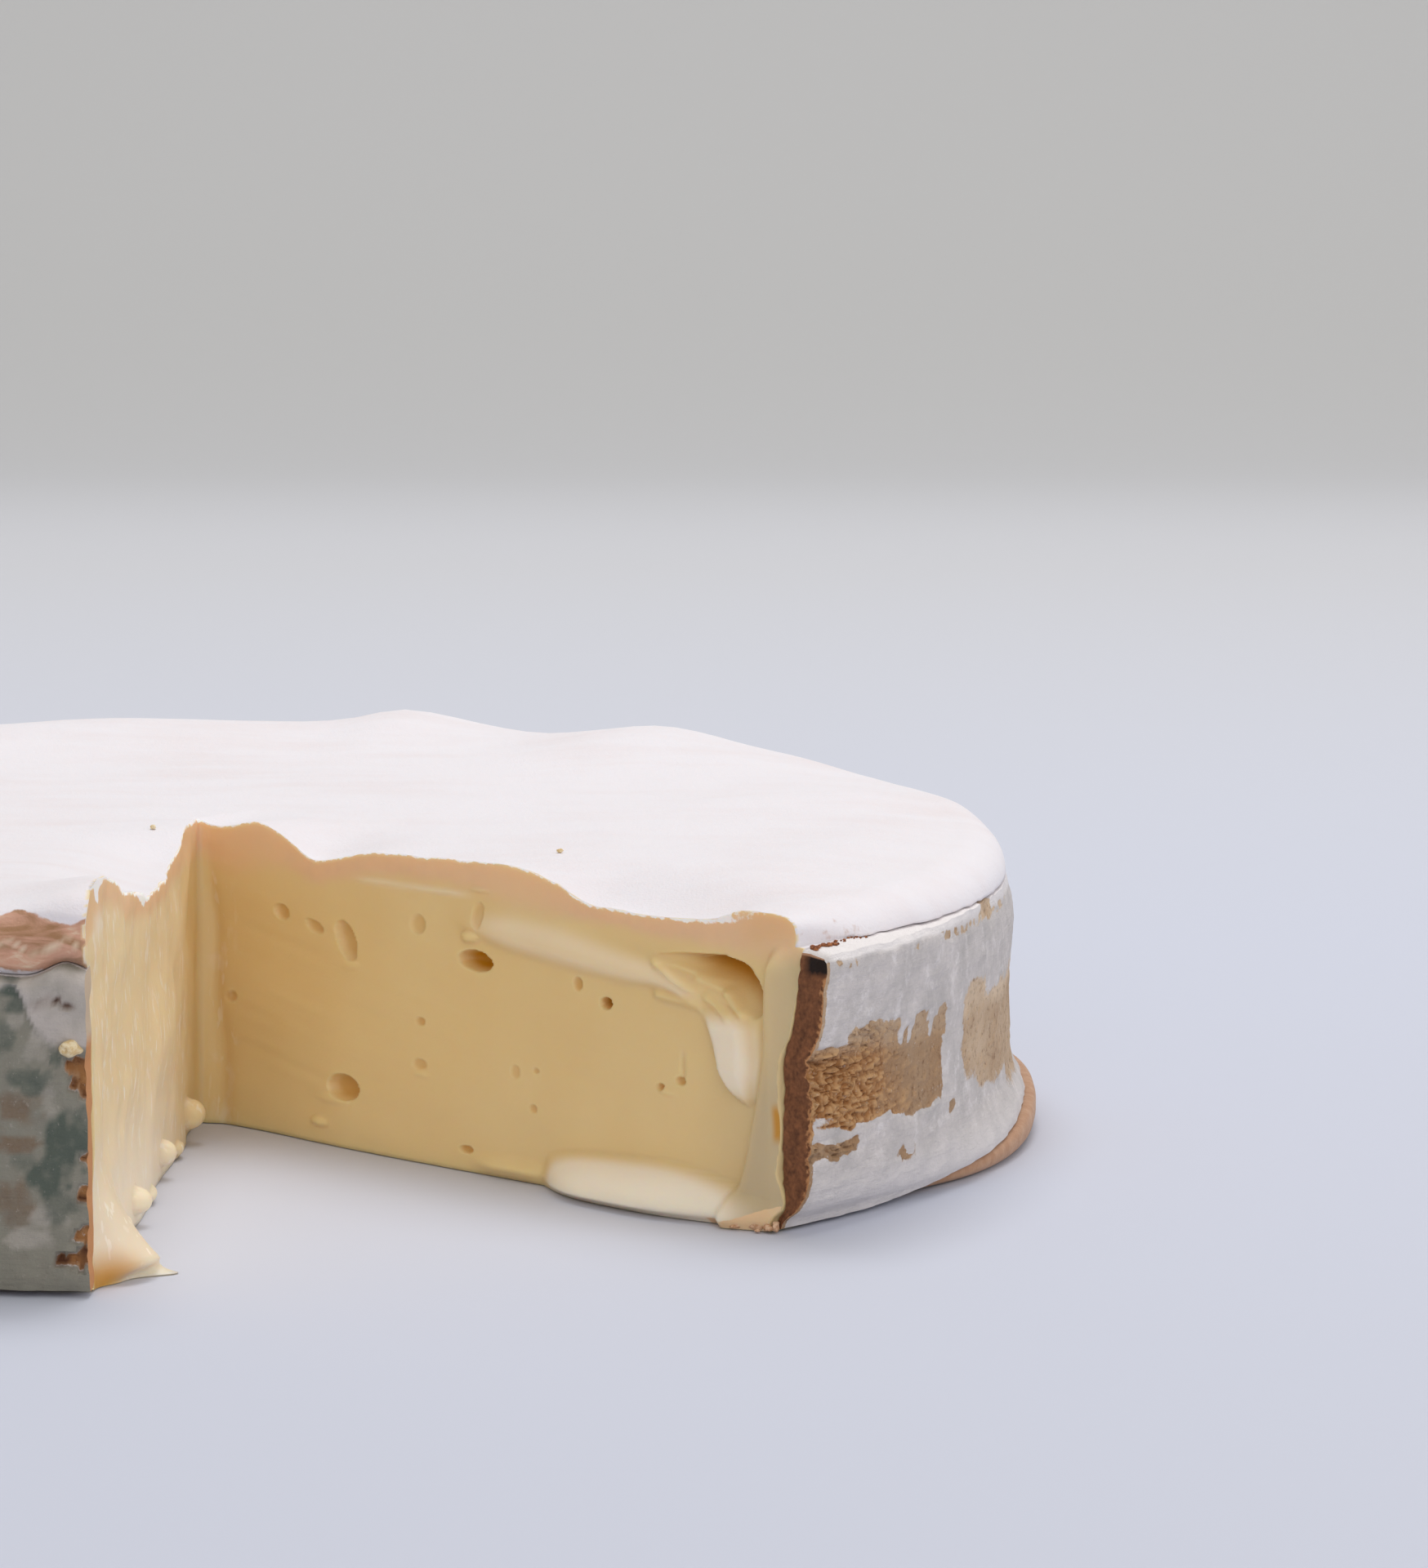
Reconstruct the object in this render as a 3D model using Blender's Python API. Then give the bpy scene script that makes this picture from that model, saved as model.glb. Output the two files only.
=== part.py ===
# A ripe soft cheese wheel in a strap of spruce bark, with one wedge cut out of it.
#
# The wheel stands on z = 0 and its axis is the Z axis. The missing wedge opens towards -Y.
# Lengths below are in millimetres and angles in degrees. MM turns a length into metres.
# A place on a cut face is given by s, its distance from the axis, and z, its height.

import math

import bmesh
import bpy
import numpy as np
from mathutils import Matrix, Vector

MM = 0.001

# Driving dimensions of the wheel
WHEEL_RADIUS = 140.0
WHEEL_HEIGHT = 52.3
CUT_RIGHT = -42.6
CUT_LEFT = 268.3
BARK_THICKNESS = 4.2
FIT_GAP = 0.4

# How finely the forms are faceted
STATIONS = 50
STATION_CROWDING = 0.76
RINGS = 33
RING_GRADING = 1.4
WALL_ROWS = 9
SHOULDER_ROWS = 5

# Height of the bark's top and bottom edge at angles round the wheel
BARK_TOP = ((-42.6, 44.6), (-15, 44.4), (30, 44.2), (80, 45.5), (140, 48), (200, 49.5), (268.3, 50))
BARK_FOOT = (
    (-42.6, 0.9), (-25, 1.4), (0, 4.6), (35, 5), (80, 2.2),
    (130, 1.4), (180, 3.6), (225, 1.4), (268.3, 1.3),
)

# How far the shoulder of the cheese reaches past its own wall, over the bark's top edge
SHOULDER_REACH = ((-42.6, -1.2), (-20, 1.2), (20, 2.6), (90, 2.2), (150, 3.4), (220, 3.2), (268.3, 4.1))

# How far the cheese is squeezed out below the bark
FOOT_REACH = (
    (-42.6, 0.4), (-25, 2.4), (0, 7.6), (35, 7.6), (80, 2.4),
    (130, 1.8), (180, 6), (225, 1.8), (268.3, 1.4),
)

# Height of the rind's cut edge along each face
EDGE_RIGHT = (
    (0, 52.7), (15, 53.4), (28, 48.6), (44, 50.8),
    (75, 51.8), (92, 47.8), (112, 47.4), (133, 50.3),
)
EDGE_LEFT = ((0, 52.7), (16, 53.4), (30, 50.2), (55, 49), (72, 50.4), (95, 54.8), (112, 59), (133, 59.6))

# The top face swells towards the front left and has two low humps at the back: x, y, height, width
TOP_SWELLS = (
    (-6, -142, 6.6, 50),
    (30, 128, 3.0, 13),
    (78, 108, 1.8, 14),
    (10, 30, 0.7, 40),
    (-70, 50, 0.9, 35),
)

# The fold of paste that stands beside the bark on the right face: height, s of its crease
CURTAIN_CREASE = ((0, 125.5), (10, 128), (20, 129.6), (28, 131.8), (36, 131.6), (43, 133))
CURTAIN_DEPTH = 2.2

# The roll of paste along the foot of the right face: s, how far it stands out
ROLL_REACH = ((80, 0), (88, 4.6), (98, 7.8), (114, 7.6), (124, 5), (131, 1.8), (138, 0))
ROLL_HEIGHT = 5.4

# The band smeared by the knife below the rind: s, height of its middle
SMEAR_LINE = ((60, 42.6), (85, 42.2), (100, 40), (112, 37.4), (120, 35))
SMEAR_DEPTH = 1.6

# The scoop under the rind near the bark: s, height of its upper lip and of its lower end
SCOOP_LIP = ((106, 40.8), (114, 42), (124, 42.6), (129, 41.2), (132, 38))
SCOOP_SILL = ((106, 40), (114, 38), (122, 35.4), (132, 32.6))
SCOOP_DEPTH = 7.0

# Tongue of paste that has run down from the scoop: s, z, width along s, height, how far it stands out
TONGUE = ((121, 33, 5, 4.5, 2.0), (124, 27, 5, 5, 2.6), (125, 22.5, 3.6, 3, 1.6))

# Dollop at the foot of the left face
DOLLOP_S = 125.0
DOLLOP_WIDTH = 8.5
DOLLOP_HEIGHT = 17.0
DOLLOP_REACH = 12.5

# Small lumps low on the left face: s, z, size, how far each stands out
LUMPS_LEFT = ((20, 5, 5, 5), (50, 3.6, 4, 3.6), (88, 4, 4.4, 3.4))

# Eyes in the right face: s, z, length, height, depth, turn in the face
EYES = (
    (37.2, 35.6, 4.6, 7.6, 2.4, 24),
    (67.6, 35.4, 7.4, 3.7, 3.2, 0),
    (97.0, 31.7, 3.0, 2.6, 2.0, 0),
    (35.8, 10.4, 7.4, 4.6, 3.0, 0),
    (20.5, 38.6, 3.4, 2.8, 1.2, 0),
)
EYE_SIDES = 12
EYE_RINGS = 8
EYE_PROUD = 0.25


def smooth(low, high, x):
    """Ease from 0 at low to 1 at high."""
    t = np.clip((x - low) / (high - low), 0.0, 1.0)
    return t * t * (3.0 - 2.0 * t)


def bell(x, centre, width):
    """A soft hump of height 1."""
    return np.exp(-((x - centre) / width) ** 2)


def through(points, x):
    """Read a smooth curve that passes through the given points."""
    xs = np.array([p[0] for p in points], float)
    ys = np.array([p[1] for p in points], float)
    x = np.clip(x, xs[0], xs[-1])
    slope = np.gradient(ys, xs)
    i = np.clip(np.searchsorted(xs, x, side="right") - 1, 0, len(xs) - 2)
    span = xs[i + 1] - xs[i]
    t = (x - xs[i]) / span
    start = (1 + 2 * t) * (1 - t) ** 2 * ys[i] + t * (1 - t) ** 2 * span * slope[i]
    end = t * t * (3 - 2 * t) * ys[i + 1] + t * t * (t - 1) * span * slope[i + 1]
    return start + end


def heading(angle):
    """Unit direction in plan at an angle in degrees."""
    turn = math.radians(angle)
    return np.array((math.cos(turn), math.sin(turn)))


def into_gap(side):
    """Unit direction in plan that points out of a cut face, into the missing wedge."""
    if side == "right":
        return heading(CUT_RIGHT - 90.0)
    return heading(CUT_LEFT + 90.0)


def bark_outside(angle, z):
    """Radius of the bark's outer face. It flares at the right cut and over the squeezed foot."""
    at_cut = math.exp(-((angle - CUT_RIGHT) / 17.0) ** 2)
    flare = at_cut * (1.9 + 3.4 * smooth(22.0, 45.0, z))
    tuck = at_cut * 4.6 * (1.0 - smooth(0.0, 7.0, z))
    spread = 0.36 * through(FOOT_REACH, angle) * (1.0 - smooth(2.0, 15.0, z))
    waver = 0.5 * math.sin(math.radians(3.0 * angle + 40.0)) * (1.0 - at_cut)
    return WHEEL_RADIUS + flare - tuck + spread + waver - 0.5


def bark_inside(angle, z):
    """Radius of the bark's inner face. The strap thins towards its lower edge at the right cut."""
    at_cut = math.exp(-((angle - CUT_RIGHT) / 17.0) ** 2)
    thin = at_cut * 2.2 * (1.0 - smooth(0.0, 9.0, z))
    return bark_outside(angle, z) - BARK_THICKNESS + thin


def cheese_wall(angle, z):
    """Radius of the cheese where the bark backs it."""
    return bark_inside(angle, z) - FIT_GAP


def wall_heights(angle):
    """Heights of the rows that bark and cheese share, from the bark's foot to its top edge."""
    foot = float(through(BARK_FOOT, angle))
    top = float(through(BARK_TOP, angle))
    return [foot + (top - foot) * k / WALL_ROWS for k in range(WALL_ROWS + 1)]


def distance_to_cut(x, y, side):
    """Distance in plan from a cut face, measured into the cheese, and distance along it."""
    along = heading(CUT_RIGHT if side == "right" else CUT_LEFT)
    away = -into_gap(side)
    return x * away[0] + y * away[1], x * along[0] + y * along[1]


def top_height(x, y):
    """Height of the top face. It swells slowly and droops to the rind's edge at both cuts."""
    z = WHEEL_HEIGHT
    for sx, sy, rise, width in TOP_SWELLS:
        z += rise * math.exp(-((x - sx) ** 2 + (y - sy) ** 2) / (2.0 * width * width))
    z -= 1.6 * float(smooth(112.0, 134.0, math.hypot(x, y)))
    for side, edge in (("right", EDGE_RIGHT), ("left", EDGE_LEFT)):
        inward, along = distance_to_cut(x, y, side)
        if along > -8.0 and inward > -6.0:
            hold = math.exp(-(inward / 11.0) ** 2) * float(smooth(-8.0, 0.0, along))
            z += (float(through(edge, max(along, 0.0))) - z) * hold
    return z


def relief_right(s, z):
    """How far the right cut face stands out of its plane. Negative is cut back."""
    hollow = -3.4 * smooth(-5.0, 9.0, s) * (1 - smooth(13.0, 38.0, s))
    hollow *= 1 - 0.8 * smooth(12.0, 46.0, z)
    crease = through(CURTAIN_CREASE, z)
    curtain = CURTAIN_DEPTH * smooth(crease - 1.5, crease + 2.5, s) * (1 - 0.7 * smooth(134.0, 139.0, s))
    curtain *= 1 - smooth(42.0, 47.0, z)
    roll_profile = math.sqrt(max(0.0, 1.0 - (max(z - 1.2, 0.0) / ROLL_HEIGHT) ** 2))
    roll = through(ROLL_REACH, s) * roll_profile * (s > 80.0)
    smear = SMEAR_DEPTH * bell(z, through(SMEAR_LINE, s), 3.0)
    smear *= smooth(60.0, 72.0, s) * (1 - smooth(112.0, 122.0, s))
    tongue = sum(out * bell(s, ts, w) * bell(z, tz, h) for ts, tz, w, h, out in TONGUE)
    return float(hollow + curtain + roll + smear + tongue - scoop(s, z))


def scoop(s, z):
    """Depth of the scoop under the rind, deepest just below its lip."""
    lip = float(through(SCOOP_LIP, s))
    sill = float(through(SCOOP_SILL, s))
    if not (sill < z < lip and 106.0 < s < 132.4):
        return 0.0
    down = (lip - z) / (lip - sill)
    profile = smooth(0.0, 0.3, down) * (1.0 - down) ** 0.8
    return SCOOP_DEPTH * profile * smooth(105.0, 126.0, s) * (1 - smooth(131.0, 132.4, s))


def relief_left(s, z):
    """How far the left cut face stands out of its plane."""
    swell = 0.9 * bell(s, 70.0, 40.0) * bell(z, 26.0, 20.0)
    rise = max(0.0, 1.0 - z / DOLLOP_HEIGHT)
    dollop = DOLLOP_REACH * rise ** 2.0 * bell(s, DOLLOP_S, DOLLOP_WIDTH)
    lumps = sum(out * bell(s, ls, size) * bell(z, lz, size) for ls, lz, size, out in LUMPS_LEFT)
    return float(swell + dollop + lumps) * float(smooth(0.0, 8.0, s))


def relief(side, s, z):
    return relief_right(s, z) if side == "right" else relief_left(s, z)


def section(angle):
    """Outer profile of the cheese at one angle, from the base up: radius and height."""
    heights = wall_heights(angle)
    foot, brim = heights[0], heights[-1]
    foot_radius = float(cheese_wall(angle, foot)) + float(through(FOOT_REACH, angle))
    inner = float(cheese_wall(angle, foot))
    ledge = foot - FIT_GAP
    profile = [(foot_radius - 2.6, 0.0), (foot_radius - 0.3, 0.45 * ledge)]
    profile += [(foot_radius - 0.6, 0.85 * ledge), (inner, ledge)]
    profile += [(float(cheese_wall(angle, z)), z) for z in heights]
    shoulder = float(cheese_wall(angle, brim)) + float(through(SHOULDER_REACH, angle))
    rim = shoulder - 8.5
    x, y = heading(angle) * rim
    crown = top_height(x, y)
    base = brim + FIT_GAP
    profile.append((shoulder - 0.5, base))
    for k in range(SHOULDER_ROWS):
        turn = 0.5 * math.pi * (k + 0.6) / (SHOULDER_ROWS - 0.4)
        profile.append((rim + (shoulder - rim) * math.cos(turn), base + (crown - base) * math.sin(turn)))
    return profile


def ring_shares():
    """Share of the radius at each ring of the top face, closer together towards the rim."""
    return [1.0 - (1.0 - i / RINGS) ** RING_GRADING for i in range(RINGS + 1)]


def station_angles():
    """Angles of the sections round the wheel, closer together towards the two cuts."""
    angles = []
    for j in range(STATIONS + 1):
        u = j / STATIONS
        eased = u - STATION_CROWDING * math.sin(2 * math.pi * u) / (2 * math.pi)
        angles.append(CUT_RIGHT + (CUT_LEFT - CUT_RIGHT) * eased)
    return angles


def top_point(angle, radius):
    """A point of the top face. Beside a cut it follows the relief of that cut's edge."""
    x, y = heading(angle) * radius
    z = top_height(x, y)
    for side in ("right", "left"):
        inward, along = distance_to_cut(x, y, side)
        if along > 0.0 and -6.0 < inward < 40.0:
            shift = relief(side, along, z) * math.exp(-(inward / 14.0) ** 2)
            x, y = np.array((x, y)) + into_gap(side) * shift
    return x, y, z


def face_point(side, share, row, profile):
    """A point of a cut face, between the axis at share 0 and the outer profile at share 1."""
    angle = CUT_RIGHT if side == "right" else CUT_LEFT
    radius, height = profile[row]
    rim_radius, rim_height = profile[-1]
    s = share * radius
    x, y = heading(angle) * share * rim_radius
    even = row / (len(profile) - 1)
    level = even + (height / rim_height - even) * float(smooth(0.55, 1.0, share))
    z = top_height(x, y) * level
    out = relief(side, s, z)
    x, y = heading(angle) * s + into_gap(side) * out
    return x, y, z


def new_object(name, bm, material):
    mesh = bpy.data.meshes.new(name)
    bmesh.ops.recalc_face_normals(bm, faces=bm.faces)
    bmesh.ops.triangulate(bm, faces=bm.faces)
    bm.to_mesh(mesh)
    bm.free()
    mesh.shade_smooth()
    mesh.set_sharp_from_angle(angle=math.radians(38.0))
    mesh.materials.append(material)
    part = bpy.data.objects.new(name, mesh)
    bpy.context.scene.collection.objects.link(part)
    return part


def add_vertex(bm, point):
    return bm.verts.new([float(c) * MM for c in point])


def add_strips(bm, lines):
    """Fill the quads between neighbouring lines of vertices, and triangles where they share one."""
    for first, second in zip(lines, lines[1:]):
        for a, b, c, d in zip(first, first[1:], second[1:], second):
            corners = []
            for vertex in (a, b, c, d):
                if vertex not in corners:
                    corners.append(vertex)
            if len(corners) > 2:
                bm.faces.new(corners)


def cheese_mesh():
    """Top, side, two cut faces and a flat base, all sharing their edges."""
    bm = bmesh.new()
    shares = ring_shares()
    angles = station_angles()
    profiles = [section(angle) for angle in angles]
    rows = len(profiles[0])
    axis_height = top_height(0.0, 0.0)
    axis = [add_vertex(bm, (0.0, 0.0, axis_height * k / (rows - 1))) for k in range(rows)]

    cut_faces = {}
    for side, profile in (("right", profiles[0]), ("left", profiles[-1])):
        columns = [axis]
        for share in shares[1:]:
            columns.append([add_vertex(bm, face_point(side, share, k, profile)) for k in range(rows)])
        add_strips(bm, columns)
        cut_faces[side] = columns

    top_lines = [[column[-1] for column in cut_faces["right"]]]
    side_lines = [cut_faces["right"][-1]]
    for angle, profile in zip(angles[1:-1], profiles[1:-1]):
        direction = heading(angle)
        side = [add_vertex(bm, (*(direction * radius), z)) for radius, z in profile]
        rim_radius = profile[-1][0]
        top = [axis[-1]]
        top += [add_vertex(bm, top_point(angle, share * rim_radius)) for share in shares[1:-1]]
        top.append(side[-1])
        top_lines.append(top)
        side_lines.append(side)
    top_lines.append([column[-1] for column in cut_faces["left"]])
    side_lines.append(cut_faces["left"][-1])
    add_strips(bm, top_lines)
    add_strips(bm, side_lines)

    base = [column[0] for column in cut_faces["right"]]
    base += [line[0] for line in side_lines[1:-1]]
    base += [column[0] for column in reversed(cut_faces["left"][1:])]
    bm.faces.new(base)
    return bm


def bark_relief(angle, z):
    """Low fibrous waves of the bark's outer face."""
    waves = math.sin(0.31 * angle + 0.2 * z) + 0.7 * math.sin(0.83 * angle - 0.35 * z + 1.0)
    return 0.22 * waves


def bark_end_shift(side, z, outer):
    """How far the sawn end of the strap stands out along the wheel. The left end is notched."""
    if side == "right":
        return 0.4 * math.sin(0.5 * z) + 0.3 * outer
    notches = sum(bell(z, height, 2.2) for height in (6.0, 15.0, 33.0))
    return -1.6 * float(notches) * outer + 0.3 * math.sin(0.7 * z)


def bark_mesh():
    """A strap with shared rows inside and outside, and a closed end at each cut."""
    bm = bmesh.new()
    lines = []
    angles = station_angles()
    for j, angle in enumerate(angles):
        heights = wall_heights(angle)
        direction = heading(angle)
        side = {0: "right", len(angles) - 1: "left"}.get(j)
        loop = []
        for outer in (0, 1):
            points = []
            for z in heights:
                radius = float(bark_inside(angle, z))
                if outer:
                    radius = float(bark_outside(angle, z)) + bark_relief(angle, z)
                place = direction * radius
                if side:
                    place = place + into_gap(side) * bark_end_shift(side, z, outer)
                points.append(add_vertex(bm, (*place, z)))
            loop.append(points)
        inner_line, outer_line = loop
        lines.append(inner_line + outer_line[::-1] + inner_line[:1])
    add_strips(bm, lines)
    half = WALL_ROWS + 1
    for line in (lines[0], lines[-1]):
        inner_line = line[:half]
        outer_line = line[half:2 * half][::-1]
        add_strips(bm, [inner_line, outer_line])
    return bm


def finish_material(name, colour, roughness):
    material = bpy.data.materials.new(name)
    material.use_nodes = True
    shader = material.node_tree.nodes["Principled BSDF"]
    shader.inputs["Base Color"].default_value = (*colour, 1.0)
    shader.inputs["Roughness"].default_value = roughness
    shader.inputs["Metallic"].default_value = 0.0
    material.diffuse_color = (*colour, 1.0)
    return material


def eye_cutter(name, eye):
    """An ellipsoid with its pole towards the gap, a little proud of the face it cuts."""
    s, z, length, height, depth, turn = eye
    along = Vector((*heading(CUT_RIGHT), 0.0))
    outward = Vector((*into_gap("right"), 0.0))
    up = Vector((0.0, 0.0, 1.0))
    tilt = math.radians(turn)
    long_axis = (along * math.cos(tilt) + up * math.sin(tilt)) * 0.5 * length
    tall_axis = (up * math.cos(tilt) - along * math.sin(tilt)) * 0.5 * height
    centre = along * s + up * z + outward * (relief("right", s, z) + EYE_PROUD)
    placing = Matrix((long_axis * MM, tall_axis * MM, outward * depth * MM)).transposed().to_4x4()
    placing.translation = centre * MM
    bm = bmesh.new()
    bmesh.ops.create_uvsphere(bm, u_segments=EYE_SIDES, v_segments=EYE_RINGS, radius=1.0, matrix=placing)
    mesh = bpy.data.meshes.new(name)
    bm.to_mesh(mesh)
    bm.free()
    cutter = bpy.data.objects.new(name, mesh)
    cutter.hide_render = True
    cutter.display_type = "WIRE"
    return cutter


def add_eyes(cheese):
    """Round openings in the paste, cut where they meet the right face."""
    eyes = bpy.data.collections.new("eye_cutters")
    bpy.context.scene.collection.children.link(eyes)
    for i, eye in enumerate(EYES):
        eyes.objects.link(eye_cutter(f"eye_cutter_{i}", eye))
    cut = cheese.modifiers.new("eyes", "BOOLEAN")
    cut.operation = "DIFFERENCE"
    cut.operand_type = "COLLECTION"
    cut.collection = eyes
    cut.solver = "EXACT"


def clear_scene():
    for item in list(bpy.data.objects):
        bpy.data.objects.remove(item, do_unlink=True)


def main():
    clear_scene()
    paste = finish_material("ripe paste and white rind", (0.82, 0.74, 0.55), 0.5)
    bark = finish_material("spruce bark", (0.42, 0.30, 0.21), 0.85)
    cheese = new_object("cheese", cheese_mesh(), paste)
    add_eyes(cheese)
    new_object("bark_band", bark_mesh(), bark)


main()
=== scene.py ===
# %% [markdown]
# # A ripe soft cheese wheel in a strap of spruce bark
#
# The real thing is a large, flat, bloomy cheese. A strap of spruce bark is tied round it while it
# ripens, and by the time it is cut the inside has turned into a thick cream that the strap holds up.
# One wedge is gone, so three different surfaces show: the white felt of mould on top, the moist yellow
# paste in the cut, and the bark with its own patches of mould.
#
# The solid model of the wheel is loaded first. It is a fixed frame: everything made below is laid over
# it, in metres.

# %% Load the frame
import itertools
import math

import bpy
import numpy as np
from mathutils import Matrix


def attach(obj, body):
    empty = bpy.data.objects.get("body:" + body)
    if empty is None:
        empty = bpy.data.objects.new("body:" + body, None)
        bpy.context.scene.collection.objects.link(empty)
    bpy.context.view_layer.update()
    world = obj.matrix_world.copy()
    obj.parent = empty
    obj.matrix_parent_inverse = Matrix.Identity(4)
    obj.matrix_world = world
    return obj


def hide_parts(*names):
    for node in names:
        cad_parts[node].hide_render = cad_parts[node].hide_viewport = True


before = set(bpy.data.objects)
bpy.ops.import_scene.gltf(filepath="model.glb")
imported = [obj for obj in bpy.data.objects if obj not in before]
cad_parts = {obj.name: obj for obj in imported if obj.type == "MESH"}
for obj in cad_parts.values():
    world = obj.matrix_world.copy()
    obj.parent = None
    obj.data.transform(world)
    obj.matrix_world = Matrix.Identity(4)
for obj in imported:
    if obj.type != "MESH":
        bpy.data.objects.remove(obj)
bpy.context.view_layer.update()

# %% [markdown]
# ## The camera
#
# The wheel is seen from a metre away and a little above, with a long lens that keeps its upright edges
# nearly parallel. The frame is upright, 1748 by 1920, so the sensor's 36 mm are taken along its height.

# %% Camera
camera_data = bpy.data.cameras.new("camera")
camera_data.sensor_fit = "VERTICAL"
camera_data.sensor_height = 36.0
camera_data.lens = 136.56
camera_data.clip_end = 50.0
camera = bpy.data.objects.new("camera", camera_data)
camera.location = (0.0889, -1.010, 0.1925)
camera.rotation_euler = (math.radians(90.0 - 7.55), 0.0, 0.0)
bpy.context.scene.collection.objects.link(camera)
bpy.context.scene.camera = camera
print("camera height", camera.location.z, "m, lens", camera_data.lens, "mm")

# %% [markdown]
# ## Small tools for soft shapes
#
# Cheese has no straight edges. Its forms are easiest to describe as soft steps, humps and curves through
# a few measured heights, and its uneven skin as smooth noise of a given size in millimetres. The noise
# comes from whole-number arithmetic, so it is the same each time the lesson is run.

# %% Soft steps, humps, curves and grain
MM = 0.001


def smooth(low, high, x):
    """Ease from 0 at low to 1 at high."""
    t = np.clip((x - low) / (high - low), 0.0, 1.0)
    return t * t * (3.0 - 2.0 * t)


def bell(x, centre, width):
    """A soft hump of height 1."""
    return np.exp(-(((x - centre) / width) ** 2))


def band(x, low, high, soft):
    """1 between low and high, with soft ends."""
    return smooth(low - soft, low + soft, x) * (1.0 - smooth(high - soft, high + soft, x))


def through(points, x):
    """Read a smooth curve that passes through the given points."""
    xs = np.array([p[0] for p in points], float)
    ys = np.array([p[1] for p in points], float)
    x = np.clip(x, xs[0], xs[-1])
    slope = np.gradient(ys, xs)
    i = np.clip(np.searchsorted(xs, x, side="right") - 1, 0, len(xs) - 2)
    span = xs[i + 1] - xs[i]
    t = (x - xs[i]) / span
    start = (1 + 2 * t) * (1 - t) ** 2 * ys[i] + t * (1 - t) ** 2 * span * slope[i]
    end = t * t * (3 - 2 * t) * ys[i + 1] + t * t * (t - 1) * span * slope[i + 1]
    return start + end


def scatter(cells, seed):
    """A repeatable number from 0 to 1 for each whole-number cell."""
    n = cells[..., 0] * 73856093 + cells[..., 1] * 19349663 + cells[..., 2] * 83492791 + seed * 2654435
    n = ((n ^ (n >> 13)) & 0xFFFFFFFF) * 1274126177 & 0xFFFFFFFF
    n = ((n ^ (n >> 16)) & 0xFFFFFFFF) * 974634777 & 0xFFFFFFFF
    return (n ^ (n >> 15) & 0xFFFFFF) % 65536 / 65535.0


def grain(x, y, z, size, seed=0):
    """Smooth noise from -1 to 1 whose lumps are about size mm across."""
    places = np.stack(np.broadcast_arrays(x, y, z), -1) / size + 500.0
    cells = np.floor(places).astype(np.int64)
    part = places - cells
    part = part * part * (3.0 - 2.0 * part)
    total = 0.0
    for corner in itertools.product((0, 1), repeat=3):
        weight = np.prod(np.where(np.array(corner) == 1, part, 1.0 - part), axis=-1)
        total = total + weight * scatter(cells + np.array(corner), seed)
    return 2.0 * total - 1.0


sample = grain(np.linspace(0, 90, 2000), 0.0, 0.0, 3.0)
print("grain runs from %.2f to %.2f" % (sample.min(), sample.max()))

# %% [markdown]
# ## The wheel's measures
#
# All lengths are in millimetres. The wheel is 280 across and a little over 52 high. Its right cut lies
# 42.6 degrees in front of +X and its left cut at 268.3 degrees, so the missing wedge opens towards -Y.
# A place on a cut face is given by s, its distance from the axis, and z, its height.

# %% Measures of the wheel
WHEEL_RADIUS = 140.0
WHEEL_HEIGHT = 52.3
CUT_RIGHT = -42.6
CUT_LEFT = 268.3
BARK_THICKNESS = 4.2
FIT_GAP = 0.4
SEAM_GAP = 0.08

# Height of the bark's two edges at angles round the wheel
BARK_TOP = (
    (-42.6, 45.3), (-37, 45.4), (-30, 45.2), (-15, 44.4), (30, 44.2), (80, 45.5), (140, 48), (200, 49.5),
    (256, 49.6), (261, 49.0), (263, 48.3), (265, 48.5), (266.2, 49.8), (267.6, 50.2), (268.3, 49.4),
)
BARK_FOOT = (
    (-42.6, 0.5), (-33, 0.7), (-20, 3.2), (0, 7.0), (35, 6.2), (80, 2.2),
    (130, 1.4), (180, 3.6), (225, 1.4), (268.3, 0.8),
)

# How far the shoulder reaches past the cheese's own wall, and the foot is squeezed out below the bark
SHOULDER_REACH = (
    (-42.6, -1.6), (-39, -0.2), (-33, 2.2), (-22, 4.0), (0, 4.7), (40, 3.8),
    (90, 2.8), (150, 3.4), (220, 3.2), (268.3, 4.1),
)
FOOT_REACH = (
    (-42.6, 0.2), (-30, 1.2), (-20, 4.2), (0, 6.8), (35, 7.0), (80, 2.4),
    (130, 1.8), (180, 6), (225, 1.8), (268.3, 0.6),
)
SHOULDER_WIDTH = 8.5
SHOULDER_SQUARENESS = ((-42.6, 4.2), (-39, 2.4), (-30, 1.9), (0, 2.3), (40, 2.1), (200, 2.3), (268.3, 3.4))

# How far the strap's outside stands off the plain circle at its right end, by height
END_FLARE = (
    (0, -3.2), (2, -2.8), (3.5, -0.8), (7, 1.3), (10.5, 2.0), (14, 2.4), (24, 2.4),
    (28, 2.7), (31.5, 3.9), (35, 4.5), (38.6, 5.3), (43, 6.0), (46, 6.2),
)

# The far rim is lifted a little, and unevenly: height by angle
RIM_LIFT = (
    (-10, 0), (5, 0.3), (14, 1.3), (20, 0.8), (28, 0.9), (38, 2.2), (45, 3.0), (52, 3.4), (58.5, 2.1),
    (64, 1.4), (70, 1.8), (77, 2.4), (81.5, 1.4), (88, 2.5), (97, 3.4), (109, 3.5), (130, 2.5),
    (160, 0.8), (190, 0),
)

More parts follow.
